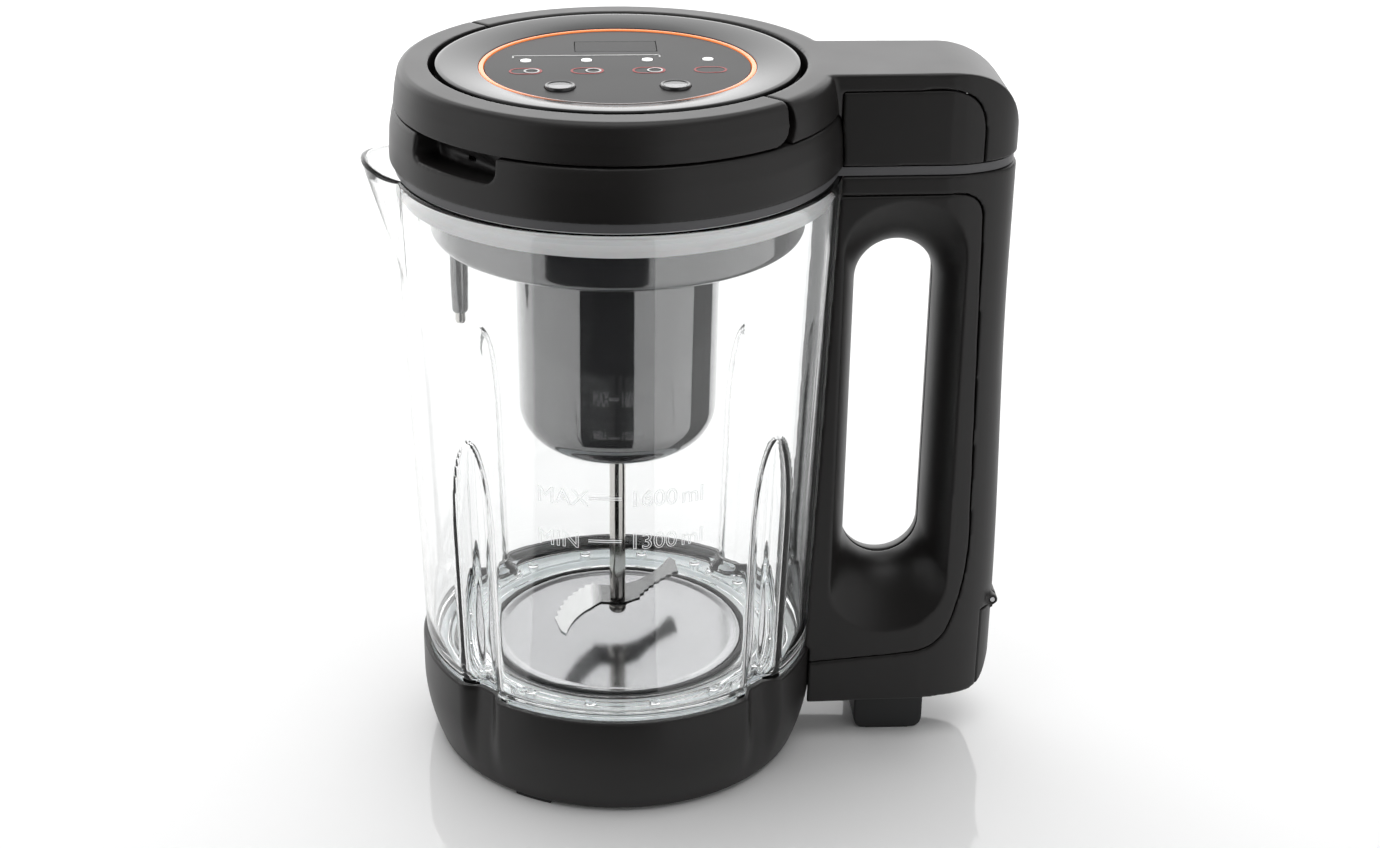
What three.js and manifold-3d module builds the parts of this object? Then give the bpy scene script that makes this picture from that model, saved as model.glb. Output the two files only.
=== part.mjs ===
// Electric soup maker, in millimetres, +Z up.
// A clear jug stands on a heating base and carries a side handle. The lid holds the
// motor, the blade, the control panel and a carry bail that swings up.
// Everything is built about the jug's axis: the handle lies along +X and the spout
// along -X. The last lines shift the whole so that its origin is under its middle.
import * as THREE from "three";
import { mergeVertices } from "three/addons/utils/BufferGeometryUtils.js";
import Module from "manifold-3d";

const wasm = await Module();
wasm.setup();

// Driving dimensions.
const gap = 0.3; // between pieces that are fitted or rest on each other
const runningGap = 0.2; // round pins, shafts and sliding buttons
const shellWall = 2.8; // handle and bridge mouldings
const partWall = 2.4; // base, lid and motor mouldings

const rimHeight = 236.4; // table to jug rim
const rimRadius = 82.8;
const jugFootRadius = 76.2;
const jugWall = 2.6;
const jugFloorTop = 40;
const jugFloorWidth = 26.7; // clear flange between wall and heating plate
const grooveDepth = 4.7;
const grooveHalfAngle = 8; // degrees
const grooveTop = 147;
const spoutReach = 11.6;
const spoutHalfAngle = 16.5; // degrees
const spoutBottom = 199;
const spoutLift = 3;

const baseHeight = 42.2;
const baseLift = 1.6; // the base edge above the table
const baseProud = 1.6; // how far the base stands out past the jug wall
const baseFlare = 5.4; // how far it narrows towards the table

const trimHeight = 3.2;
const lidRim = 0.6; // how far the lid overhangs the jug rim
const lidHeight = 33.9; // lid housing and bail, above the trim
const bailHeight = 14.2;
const bailWidth = 10.2;
const bailGap = 2.3; // between bail and bezel, so the bail clears as it swings
const bailAzimuth = -135; // degrees, the middle of the bail
const bailSetback = 7.1; // pivot axis to bail end, and to its lower edge
const pivotRadius = 2.4;
const bezelWidth = 15.6;
const lightRingWidth = 1.9;

const sealHeight = 9.3;
const plugDepth = 26.4; // lid plug below the jug rim
const plugStandoff = 10.6; // jug's inner wall to the plug, filled by the seal
const cupRadius = 38.6;
const cupLength = 85; // motor cup below the lid plug
const cupCorner = 16;
const shaftRadius = 3.15;
const bladeRise = 13; // blade above the heating plate
const bladeReach = 38;
const bladeWidth = 9;
const bearingRadius = 9.5;
const bearingHeight = 6;

const handleReach = 147; // jug axis to the back of the handle
const handleLean = 3.2; // further out at the foot of the handle
const handleHalfWidth = 24;
const handleBottom = 16.2;
const holeCentre = 103.5;
const holeWidth = 30;
const holeBottom = 73;
const holeTop = 206;
const footHalfWidth = 16;
const coverTop = 53.5; // inlet cover, upper edge
const coverHalfWidth = 15;
const coverThickness = 3;
const barrelRadius = 2.2;

const buttonRadius = 5.4;
const buttonTravel = 0.8;
const indicatorLength = 7.6;
const indicatorWidth = 3.4;

// Heights and radii that follow from them.
const lidBottom = rimHeight + gap + trimHeight + gap;
const lidTop = lidBottom + lidHeight;
const deckTop = lidTop - bailHeight - 2 * gap;
const lidRadius = rimRadius + lidRim;
const lidTopRadius = lidRadius - 4.9;
const bailInner = lidTopRadius - bailWidth;
const bezelRadius = bailInner - bailGap;
const ringRadius = bezelRadius - bezelWidth;
const panelRadius = ringRadius - lightRingWidth - gap;
const panelTop = lidTop - 2.4;
const pivotHeight = lidTop - bailSetback;
const plateRadius = jugFootRadius - jugFloorWidth;
const jugInner = rimRadius - jugWall;
const plugRadius = jugInner - plugStandoff;
const plugBottom = rimHeight - plugDepth;
const cupBottom = plugBottom - cupLength;
const bladeHeight = jugFloorTop + bladeRise;

const toRadians = THREE.MathUtils.degToRad;
const smooth = (value, low, high) => THREE.MathUtils.smoothstep(value, low, high);

// Solids: three.js makes each shape, and these join and cut them. A three.js shape
// has normals and repeats its corners, and the result of a cut does neither.
function toManifold(geometry) {
  let merged = geometry;
  if (geometry.hasAttribute("normal")) {
    const bare = geometry.clone();
    bare.deleteAttribute("normal");
    bare.deleteAttribute("uv");
    merged = mergeVertices(bare);
  }
  const triVerts = [];
  for (let i = 0; i < merged.index.count; i += 3) {
    const [a, b, c] = merged.index.array.slice(i, i + 3);
    if (a !== b && b !== c && c !== a) triVerts.push(a, b, c);
  }
  const vertProperties = merged.attributes.position.array;
  return new wasm.Manifold(
    new wasm.Mesh({ numProp: 3, vertProperties, triVerts: new Uint32Array(triVerts) }),
  );
}

function toGeometry(manifold) {
  const mesh = manifold.getMesh();
  const shared = new Map();
  mesh.mergeFromVert?.forEach((from, i) => shared.set(from, mesh.mergeToVert[i]));
  const corners = mesh.triVerts.map((corner) => shared.get(corner) ?? corner);
  const geometry = new THREE.BufferGeometry();
  geometry.setAttribute("position", new THREE.BufferAttribute(mesh.vertProperties, 3));
  geometry.setIndex(new THREE.BufferAttribute(corners, 1));
  return geometry;
}

const combine = (method) => (first, ...rest) =>
  toGeometry(rest.reduce((solid, next) => solid[method](toManifold(next)), toManifold(first)));
const join = combine("add");
const cut = combine("subtract");
const common = combine("intersect");

// A solid of revolution about Z from a closed outline of [radius, height] points.
function turn(outline, segments = 24) {
  const points = outline.map(([radius, height]) => new THREE.Vector2(radius, height));
  if (THREE.ShapeUtils.isClockWise(points)) points.reverse();
  if (points[0].x > 0 || points.at(-1).x > 0) points.push(points[0].clone());
  return new THREE.LatheGeometry(points, segments).rotateX(Math.PI / 2);
}

const ring = (inner, outer, bottom, top, segments) =>
  turn([[inner, bottom], [outer, bottom], [outer, top], [inner, top]], segments);

const disc = (radius, bottom, top, segments) =>
  turn([[0, bottom], [radius, bottom], [radius, top], [0, top]], segments);

// A closed shape through [x, y, rounding] corners.
function outline(corners) {
  const shape = new THREE.Shape();
  const at = (i) => new THREE.Vector2(...corners[(i + corners.length) % corners.length]);
  corners.forEach(([x, y, rounding = 0], i) => {
    const corner = at(i);
    const before = corner.clone().add(at(i - 1).sub(corner).setLength(rounding));
    const after = corner.clone().add(at(i + 1).sub(corner).setLength(rounding));
    if (i === 0) shape.moveTo(before.x, before.y);
    else shape.lineTo(before.x, before.y);
    if (rounding > 0) shape.quadraticCurveTo(x, y, after.x, after.y);
  });
  return shape;
}

const rectangle = (x0, y0, x1, y1, rounding = 0) =>
  outline([[x0, y0, rounding], [x1, y0, rounding], [x1, y1, rounding], [x0, y1, rounding]]);

function circle(x, y, radius) {
  const shape = new THREE.Shape();
  shape.absarc(x, y, radius, 0, 2 * Math.PI);
  return shape;
}

// A ring sector in plan, between two azimuths in degrees.
function sector(inner, outer, from, to) {
  const shape = new THREE.Shape();
  shape.absarc(0, 0, outer, toRadians(from), toRadians(to), false);
  shape.absarc(0, 0, inner, toRadians(to), toRadians(from), true);
  return shape;
}

function raise(shape, bottom, top, curveSegments = 8, steps = 1) {
  const depth = top - bottom;
  const options = { depth, steps, curveSegments, bevelEnabled: false };
  return new THREE.ExtrudeGeometry(shape, options).translate(0, 0, bottom);
}

// A prism along Y from an outline in X and Z.
function across(shape, low, high, curveSegments = 8, steps = 1) {
  const slab = raise(shape, 0, high - low, curveSegments, steps);
  return slab.rotateX(Math.PI / 2).translate(0, high, 0);
}

const block = (x0, y0, z0, x1, y1, z1) => raise(rectangle(x0, y0, x1, y1), z0, z1);

const half = (side) => {
  const far = 2 * handleHalfWidth;
  const [low, high] = side > 0 ? [gap / 2, far] : [-far, -gap / 2];
  return block(0, low, 0, 2 * handleReach, high, 2 * lidTop);
};

// Moves every point of a geometry to move(x, y, z).
function warp(geometry, move) {
  const spots = geometry.attributes.position;
  for (let i = 0; i < spots.count; i += 1) {
    spots.setXYZ(i, ...move(spots.getX(i), spots.getY(i), spots.getZ(i)));
  }
  return geometry;
}

// Colours and finishes.
const finish = (color, roughness, metalness = 0, extra = {}) =>
  ({ color, roughness, metalness, ...extra });
const finishes = {
  blackPlastic: finish(0x1d1b1b, 0.45),
  greyPlastic: finish(0x4a4a4c, 0.5),
  glossBlack: finish(0x0c0c0d, 0.12),
  clearPlastic: finish(0xf2f6f7, 0.05, 0, { transparent: true, opacity: 0.28 }),
  silicone: finish(0xdfe3e4, 0.5),
  rubber: finish(0x17171a, 0.9),
  steel: finish(0xc9c9cc, 0.25, 1),
  copper: finish(0xb0713f, 0.4, 1),
  orange: finish(0xff8430, 0.3),
  lamp: finish(0xf4f4f2, 0.3),
  board: finish(0x1f5a3c, 0.6),
};

const machine = new THREE.Group();
function place(name, geometry, finishName) {
  const solid = toGeometry(toManifold(geometry));
  const mesh = new THREE.Mesh(solid, new THREE.MeshStandardMaterial(finishes[finishName]));
  mesh.name = name;
  machine.add(mesh);
}

// Jug and base share four grooves, which run down the wall and fade out in the base.
const grooveAzimuths = [45, 135, 225, 315];
const turnAngle = (a, b) => Math.abs(((a - b + 540) % 360) - 180);

function grooveAt(azimuth, z) {
  const apart = Math.min(...grooveAzimuths.map((middle) => turnAngle(azimuth, middle)));
  const across = Math.cos((Math.PI / 2) * Math.min(apart / grooveHalfAngle, 1)) ** 2;
  const along = smooth(z, baseLift, baseHeight) * (1 - smooth(z, grooveTop - 20, grooveTop));
  return grooveDepth * across * along;
}

function spoutAt(azimuth, z) {
  const across = Math.cos((Math.PI / 2) * Math.min(turnAngle(azimuth, 180) / spoutHalfAngle, 1));
  const along = Math.max(0, z - spoutBottom) / (rimHeight - spoutBottom);
  return spoutReach * across * along;
}

const jugRadiusAt = (z) =>
  THREE.MathUtils.mapLinear(z, baseHeight, rimHeight, jugFootRadius, rimRadius);

function shapeWall(geometry) {
  return warp(geometry, (x, y, z) => {
    const radius = Math.hypot(x, y);
    const azimuth = THREE.MathUtils.radToDeg(Math.atan2(y, x)) + 360;
    const wallShare = smooth(radius, plateRadius + 6, jugFootRadius - 6);
    const spout = spoutAt(azimuth, z);
    const reach = radius + wallShare * (spout - grooveAt(azimuth, z));
    const lift = wallShare * spoutLift * (spout / spoutReach) ** 2;
    return [(x * reach) / radius, (y * reach) / radius, z + lift];
  });
}

// Everything that the handle must stand clear of, a clearance outside jug and base.
function jugEnvelope(clearance) {
  const outer = jugFootRadius + baseProud + clearance;
  return turn([
    [0, 0],
    [outer, 0],
    [outer, baseHeight],
    [jugFootRadius + clearance, baseHeight + gap],
    [rimRadius + clearance, rimHeight],
    [rimRadius + clearance, lidTop],
    [0, lidTop],
  ], 40);
}

const lugs = [[50, 62], [213, 225]]; // heights of the lugs that the handle clips over
const lugHalfWidth = 7;
const lugReach = 14;
const seatStep = 1.3; // the jug steps in where it enters the base
const floorThickness = 3.1;
const floorBottom = jugFloorTop - floorThickness;
const gasketWidth = 2;
const plateHole = plateRadius + gasketWidth + 2 * gap;

function jugGeometry() {
  const levels = [125, 137, grooveTop, spoutBottom];
  const outerWall = levels.map((z) => [jugRadiusAt(z), z]);
  const innerWall = levels.map((z) => [jugRadiusAt(z) - jugWall, z]).reverse();
  const neck = jugFootRadius - seatStep;
  const shell = shapeWall(turn([
    [plateHole, floorBottom],
    [neck, floorBottom],
    [neck, baseHeight],
    [jugFootRadius, baseHeight + gap],
    ...outerWall,
    [rimRadius, rimHeight],
    [jugInner, rimHeight],
    ...innerWall,
    [jugFootRadius - jugWall - 0.2, jugFloorTop + 6],
    [jugFootRadius - jugWall - 2.5, jugFloorTop + 1.6],
    [plateHole + 4, jugFloorTop],
    [plateHole, jugFloorTop],
  ], 48));
  const clips = lugs.map(([low, high]) => {
    const start = jugRadiusAt(low) - jugWall / 2;
    return block(start, -lugHalfWidth, low, start + lugReach, lugHalfWidth, high);
  });
  return join(shell, ...clips);
}

place("jug", jugGeometry(), "clearPlastic");

// Base: shell, bottom cover, feet and screws.
const baseOuter = jugFootRadius + baseProud;
const baseFootRadius = baseOuter - baseFlare;
const shelfTop = floorBottom - gap;
const shelfInner = jugFootRadius - 7.2;
const bottomCoverRadius = baseFootRadius - partWall - gap;
const bottomCoverLow = baseLift + gap;
const bottomCoverTop = bottomCoverLow + partWall;
const bossRadius = 4.4;
const bossCircle = bottomCoverRadius - bossRadius + 1;
const screwAzimuths = [60, 180, 300];
const screwHead = 3.2;
const screwShank = 1.5;
const screwTop = 16;
const wirePort = { halfWidth: 8, bottom: 22, top: 32 };
const polar = (radius, azimuth) =>
  [radius * Math.cos(toRadians(azimuth)), radius * Math.sin(toRadians(azimuth))];

function baseShellGeometry() {
  const shell = shapeWall(turn([
    [baseFootRadius - partWall, baseLift],
    [baseFootRadius, baseLift],
    [baseOuter - 0.55 * baseFlare, 12],
    [baseOuter - 0.14 * baseFlare, 28],
    [baseOuter, baseHeight],
    [baseOuter - partWall, baseHeight],
    [baseOuter - partWall - 0.1, shelfTop],
    [shelfInner, shelfTop],
    [shelfInner, shelfTop - partWall],
    [baseOuter - partWall - 0.3, shelfTop - partWall],
    [baseOuter - partWall - 0.14 * baseFlare, 28],
    [baseOuter - partWall - 0.55 * baseFlare, 12],
  ], 48));
  const bosses = screwAzimuths.map((azimuth) => {
    const [x, y] = polar(bossCircle, azimuth);
    return raise(circle(x, y, bossRadius), bottomCoverTop + gap, shelfTop - 1, 6);
  });
  const bores = screwAzimuths.map((azimuth) => {
    const [x, y] = polar(bossCircle, azimuth);
    return raise(circle(x, y, screwShank + runningGap), 0, screwTop + gap, 6);
  });
  const { halfWidth, bottom, top } = wirePort;
  const port = block(shelfInner - 3, -halfWidth, bottom, baseOuter + 2, halfWidth, top);
  return cut(join(shell, ...bosses), ...bores, port);
}

place("base_shell", baseShellGeometry(), "blackPlastic");

const footAzimuths = [119, -119];
const footHalfAngle = 6;
const footInner = baseFootRadius - 11;
const footTop = bottomCoverLow + 1.1;

function baseCoverGeometry() {
  const plate = disc(bottomCoverRadius, bottomCoverLow, bottomCoverTop, 28);
  const holes = screwAzimuths.flatMap((azimuth) => {
    const [x, y] = polar(bossCircle, azimuth);
    const shank = raise(circle(x, y, screwShank + runningGap), 0, baseHeight, 6);
    const head = raise(circle(x, y, screwHead + gap), 0, bottomCoverLow + 1.3, 8);
    return [shank, head];
  });
  const seats = footAzimuths.map((azimuth) => {
    const from = azimuth - footHalfAngle - 0.3;
    const to = azimuth + footHalfAngle + 0.3;
    const seat = sector(footInner - gap, bottomCoverRadius + 1, from, to);
    return raise(seat, 0, footTop + gap, 6);
  });
  return cut(plate, ...holes, ...seats);
}

place("base_cover", baseCoverGeometry(), "blackPlastic");

footAzimuths.forEach((azimuth, i) => {
  const [from, to] = [azimuth - footHalfAngle, azimuth + footHalfAngle];
  const pad = raise(sector(footInner, baseFootRadius - 1, from, to), 0, baseLift - gap, 6);
  const root = sector(footInner, bottomCoverRadius - gap, from, to);
  place(`base_foot_${i + 1}`, join(pad, raise(root, 0, footTop, 6)), "rubber");
});

screwAzimuths.forEach((azimuth, i) => {
  const [x, y] = polar(bossCircle, azimuth);
  const head = raise(circle(x, y, screwHead), baseLift, bottomCoverLow + 1, 8);
  const shank = raise(circle(x, y, screwShank), baseLift, screwTop, 6);
  place(`base_screw_${i + 1}`, join(head, shank), "steel");
});

// Heater: an inverted pan held up against the jug floor by a ring.
const plateThickness = 1.6;
const plateBottom = jugFloorTop - plateThickness;
const clampTop = floorBottom - gap;
const elementRadius = 2.8;
const elementCircle = plateRadius - 14;
const elementHeight = plateBottom - gap - elementRadius;

place("heating_plate", turn([
  [0, plateBottom],
  [plateRadius - plateThickness, plateBottom],
  [plateRadius - plateThickness, floorBottom],
  [plateRadius, floorBottom],
  [plateRadius, jugFloorTop - 0.4],
  [plateRadius - 0.4, jugFloorTop],
  [0, jugFloorTop],
], 28), "steel");

place("plate_gasket", ring(
  plateRadius + gap,
  plateRadius + gap + gasketWidth,
  floorBottom,
  jugFloorTop + 0.3,
  28,
), "rubber");

place("clamp_ring", cut(
  ring(plateRadius - 5, plateHole + 6, clampTop - partWall, clampTop, 20),
  block(elementCircle, -5, 0, plateHole + 9, 5, clampTop - 1.4),
), "steel");

// The element is swept along one open ring with its two ends turned down.
function elementPath() {
  const points = [];
  const [x, y] = polar(elementCircle, 20);
  points.push(new THREE.Vector3(x, y, elementHeight - 11));
  points.push(new THREE.Vector3(x, y, elementHeight - 4));
  for (let azimuth = 28; azimuth <= 332; azimuth += 16) {
    points.push(new THREE.Vector3(...polar(elementCircle, azimuth), elementHeight));
  }
  points.push(new THREE.Vector3(x, -y, elementHeight - 4));
  points.push(new THREE.Vector3(x, -y, elementHeight - 11));
  return new THREE.CatmullRomCurve3(points);
}

function sweep(path, radius, steps, sides) {
  const section = new THREE.Shape();
  for (let i = 0; i < sides; i += 1) {
    const [x, y] = polar(radius, (360 * i) / sides);
    if (i === 0) section.moveTo(x, y);
    else section.lineTo(x, y);
  }
  section.closePath();
  return new THREE.ExtrudeGeometry(section, { steps, extrudePath: path, bevelEnabled: false });
}

place("heating_element", sweep(elementPath(), elementRadius, 26, 8), "steel");

place("thermostat", join(
  raise(circle(17, 0, 8), plateBottom - gap - 7, plateBottom - gap, 8),
  block(10, -3, plateBottom - 12, 24, 3, plateBottom - 6),
), "greyPlastic");

place("temperature_sensor", turn([
  [0, plateBottom - 13],
  [3, plateBottom - 13],
  [3, plateBottom - 4],
  [6, plateBottom - 4],
  [6, plateBottom - gap],
  [0, plateBottom - gap],
], 20), "steel");

// Handle: one hollow column, split into a frame and two cheeks around the finger hole.
// Its plan has straight sides and a round back, and it leans out towards the foot.
const leanStart = holeCentre + holeWidth / 2; // the back beyond this leans

function plan(inset) {
  const halfWidth = handleHalfWidth - inset;
  const reach = handleReach + handleLean - inset;
  const shape = new THREE.Shape();
  shape.moveTo(jugFootRadius - 20, -halfWidth);
  shape.lineTo(leanStart, -halfWidth + 0.7);
  shape.lineTo(handleReach - 25, -halfWidth + 1);
  shape.bezierCurveTo(reach - 10, -halfWidth + 2, reach, -halfWidth * 0.55, reach, 0);
  shape.bezierCurveTo(reach, halfWidth * 0.55, reach - 10, halfWidth - 2, handleReach - 25, halfWidth - 1);
  shape.lineTo(leanStart, halfWidth - 0.7);
  shape.lineTo(jugFootRadius - 20, halfWidth);
  return shape;
}

function column(inset, bottom, top, steps) {
  const straight = raise(plan(inset), bottom, top, 6, steps);
  return warp(straight, (x, y, z) => {
    const lean = handleLean * (1 - smooth(z, coverTop, rimHeight - 40));
    const backShare = smooth(x, leanStart, handleReach - 12);
    return [x - backShare * (handleLean - lean), y, z];
  });
}

const handleFar = handleReach + handleLean + 10;
const handleNear = jugFootRadius - 22;

function handleSide(inset) {
  return outline([
    [handleNear, handleBottom + inset],
    [handleReach - 2 - inset, handleBottom + 2 + inset, 6],
    [handleReach + 6 - inset, handleBottom + 22, 3],
    [handleFar, coverTop],
    [handleFar, rimHeight - inset],
    [handleNear, rimHeight - inset],
  ]);
}

function handleBody(inset) {
  const sides = across(handleSide(inset), -40, 40, 6);
  return cut(
    common(column(inset, handleBottom - 4, rimHeight + 4, 6), sides),
    jugEnvelope(gap + inset),
  );
}

const cheekTop = rimHeight - 6.8;
const cheekBottom = 38.5;
const cheekReach = holeCentre + holeWidth / 2 + 14;

function cheekZone(clearance) {
  const shape = outline([
    [handleNear - 1, cheekBottom - 5 + clearance],
    [cheekReach - 6, cheekBottom + 1.5 + clearance, 13],
    [cheekReach + 4 - clearance, cheekBottom + 34, 18],
    [cheekReach - clearance, cheekTop - clearance, 11],
    [handleNear - 1, cheekTop - 0.6 - clearance],
  ]);
  return across(shape, -40, 40, 6);
}

// The finger hole, which flares out softly towards both side faces.
function fingerHole(outset) {
  const r = holeWidth / 2 + outset;
  const shape = new THREE.Shape();
  shape.absarc(holeCentre, holeTop - holeWidth / 2, r, 0, Math.PI);
  shape.absarc(holeCentre, holeBottom + holeWidth / 2, r, Math.PI, 2 * Math.PI);
  const reach = handleHalfWidth + 1;
  const middle = (holeTop + holeBottom) / 2;
  return warp(across(shape, -reach, reach, 4, 8), (x, y, z) => {
    const flare = (Math.abs(y) / handleHalfWidth) ** 2.4;
    const wider = holeCentre + (x - holeCentre) * (1 + 0.6 * flare) + 2.2 * flare;
    const taller = middle + (z - middle) * (1 + 0.36 * flare) - 1.6 * flare;
    return [wider, y, taller];
  });
}

const tongue = { near: 102, far: 119, halfWidth: 6, bottom: rimHeight - 17 };
const inlet = { near: 121, halfWidth: 12, bottom: 20.4, top: 37.6 };
const barrelX = handleReach + handleLean - 1.4;
const barrelZ = coverTop + barrelRadius + gap;
const knuckleHalfWidth = 8;
const pinRadius = 1;
const barrelHalfWidth = 12;
const webHalf = 1.2; // half the thickness of the web between flap and barrel

function barrel(radius, low, high) {
  return across(circle(barrelX, barrelZ, radius), low, high, 8);
}

// The back wall's outer layer below the hinge, which the inlet cover fills.
function coverZone(clearance) {
  const halfWidth = coverHalfWidth + clearance;
  const zone = block(
    handleReach - 22,
    -halfWidth,
    handleBottom - 3,
    handleFar,
    halfWidth,
    coverTop + clearance,
  );
  return cut(zone, column(coverThickness + clearance, 0, barrelZ + 10, 4));
}

function handleFrameGeometry() {
  const slot = block(tongue.near - 1, -tongue.halfWidth - 1, rimHeight - 8,
    tongue.far + 1, tongue.halfWidth + 1, rimHeight + 1);
  const window = block(inlet.near, -inlet.halfWidth - gap, inlet.bottom - gap,
    handleFar, inlet.halfWidth + gap, inlet.top + gap);
  const port = block(jugFootRadius - 10, -wirePort.halfWidth, wirePort.bottom,
    jugFootRadius + 12, wirePort.halfWidth, wirePort.top);
  const thicker = block(handleReach - 12, -coverHalfWidth - 4, handleBottom,
    handleFar, coverHalfWidth + 4, barrelZ + 6);
  const backing = cut(thicker, handleBody(coverThickness + gap + shellWall));
  const hollow = cut(handleBody(shellWall), backing);
  const ears = [-1, 1].map((side) => {
    const [low, high] = [side * (knuckleHalfWidth + gap), side * barrelHalfWidth].sort((a, b) => a - b);
    const ear = barrel(barrelRadius, low, high);
    const root = block(barrelX - 6, low, barrelZ - barrelRadius, barrelX, high, barrelZ + barrelRadius);
    return join(ear, root);
  });
  const roomHalfWidth = knuckleHalfWidth + gap;
  const knuckleRoom = join(
    barrel(barrelRadius + gap, -roomHalfWidth, roomHalfWidth),
    block(barrelX - webHalf - gap, -roomHalfWidth, coverTop - 1, handleFar, roomHalfWidth, barrelZ),
  );
  const band = cut(handleBody(0), hollow, cheekZone(0), coverZone(gap));
  const footHole = block(footNear - gap, -footHalfWidth + 3 - gap, handleBottom - 2,
    footFar + gap, footHalfWidth - 3 + gap, handleBottom + 6);
  return cut(
    join(band, ...ears),
    slot,
    window,
    port,
    knuckleRoom,
    footHole,
    barrel(pinRadius + runningGap, -barrelHalfWidth - 1, barrelHalfWidth + 1),
  );
}

const footNear = 95;
const footFar = 122.5;

place("handle_frame", handleFrameGeometry(), "blackPlastic");

// Each cheek is a hollow half with a lined finger hole, clipped over the jug's lugs.
function cheekGeometry(side) {
  const hollow = cut(handleBody(shellWall), fingerHole(partWall));
  const slots = lugs.map(([low, high]) => block(jugFootRadius - 6, -lugHalfWidth - gap, low - gap,
    rimRadius + 20, lugHalfWidth + gap, high + gap));
  return cut(common(handleBody(0), cheekZone(gap), half(side)), hollow, fingerHole(0), ...slots);
}

place("handle_cheek_left", cheekGeometry(-1), "blackPlastic");
place("handle_cheek_right", cheekGeometry(1), "blackPlastic");

function handleFootGeometry() {
  const leg = across(outline([
    [footNear, 0, 5],
    [footFar, 0, 5],
    [footFar, handleBottom - gap],
    [footNear, handleBottom - gap],
  ]), -footHalfWidth, footHalfWidth, 4);
  const root = block(footNear, -footHalfWidth + 3, handleBottom - 4, footFar, footHalfWidth - 3,
    handleBottom + 3.6);
  return join(leg, root);
}

place("handle_foot", handleFootGeometry(), "rubber");

// Contacts between lid and handle, mains inlet and the wiring between them.
const socketBottom = tongue.bottom - 4;
place("contact_socket", cut(
  block(tongue.near - 3.5, -tongue.halfWidth - 3.5, socketBottom,
    tongue.far + 3.5, tongue.halfWidth + 3.5, rimHeight - shellWall - gap),
  block(tongue.near - 0.8, -tongue.halfWidth - 0.8, tongue.bottom - 1.5,
    tongue.far + 0.8, tongue.halfWidth + 0.8, rimHeight),
), "greyPlastic");

function inletSocketGeometry() {
  const back = handleReach - 5.5;
  const shell = block(inlet.near, -inlet.halfWidth, inlet.bottom, back, inlet.halfWidth, inlet.top);
  const mouth = block(back - 15, -inlet.halfWidth + 2, inlet.bottom + 2,
    back + 1, inlet.halfWidth - 2, inlet.top - 2);
  const middle = (inlet.bottom + inlet.top) / 2;
  const pins = [[-6, 1.5], [0, -2.5], [6, 1.5]].map(([y, z]) =>
    block(back - 16, y - 1, middle + z - 2, back - 3, y + 1, middle + z + 2));
  return join(cut(shell, mouth), ...pins);
}

place("inlet_socket", inletSocketGeometry(), "greyPlastic");

place("inlet_hinge_pin", barrel(pinRadius, -barrelHalfWidth + 0.5, barrelHalfWidth - 0.5), "steel");

function inletCoverGeometry() {
  const skin = cut(common(handleBody(0), coverZone(0)), handleBody(coverThickness));
  const knuckle = barrel(barrelRadius, -knuckleHalfWidth, knuckleHalfWidth);
  const web = block(barrelX - webHalf, -knuckleHalfWidth, coverTop - 3, barrelX + webHalf,
    knuckleHalfWidth, barrelZ);
  return cut(
    join(skin, web, knuckle),
    barrel(pinRadius + runningGap, -barrelHalfWidth, barrelHalfWidth),
  );
}


place("inlet_cover", inletCoverGeometry(), "blackPlastic");

function loomGeometry() {
  const back = holeCentre + holeWidth / 2 + 15.5;
  const points = [
    [inlet.near + 6, inlet.top + 1.5],
    [inlet.near + 8, inlet.top + 8],
    [back, inlet.top + 30],
    [back, holeTop - 60],
    [back - 1, holeTop - 6],
    [back - 4, socketBottom + 5],
    [tongue.far + 7, socketBottom + 8],
    [tongue.far + 4.2, socketBottom + 8],
  ].map(([x, z]) => new THREE.Vector3(x, 0, z));
  return sweep(new THREE.CatmullRomCurve3(points), 2.2, 24, 8);
}

place("wiring_loom", loomGeometry(), "rubber");

// Lid housing: an open channel with a deck for the bail and a rim for the panel.
const deckThickness = 5.5;
const rimWall = 2.5;
const rimInner = bezelRadius - rimWall;
const ledgeTop = panelTop - 4.3;
const housingBottomThickness = 2.5;
const plugPassage = plugRadius + gap;
const fingerCut = { from: -151, to: -122, bottom: lidBottom + 10, depth: 11 };

const radialFrame = (geometry) => geometry.rotateZ(toRadians(bailAzimuth));
const pivotOffset = bailSetback;

function housingOutline(overlap) {
  return [
    [lidRadius + overlap, lidBottom],
    [lidRadius + overlap, lidBottom + 2.2],
    [lidRadius - 0.5 + overlap, lidBottom + 11.5],
    [lidRadius - 1.6 + overlap, lidBottom + 17.5],
    [lidRadius - 2.2 + overlap, deckTop + overlap],
  ];
}

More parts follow.
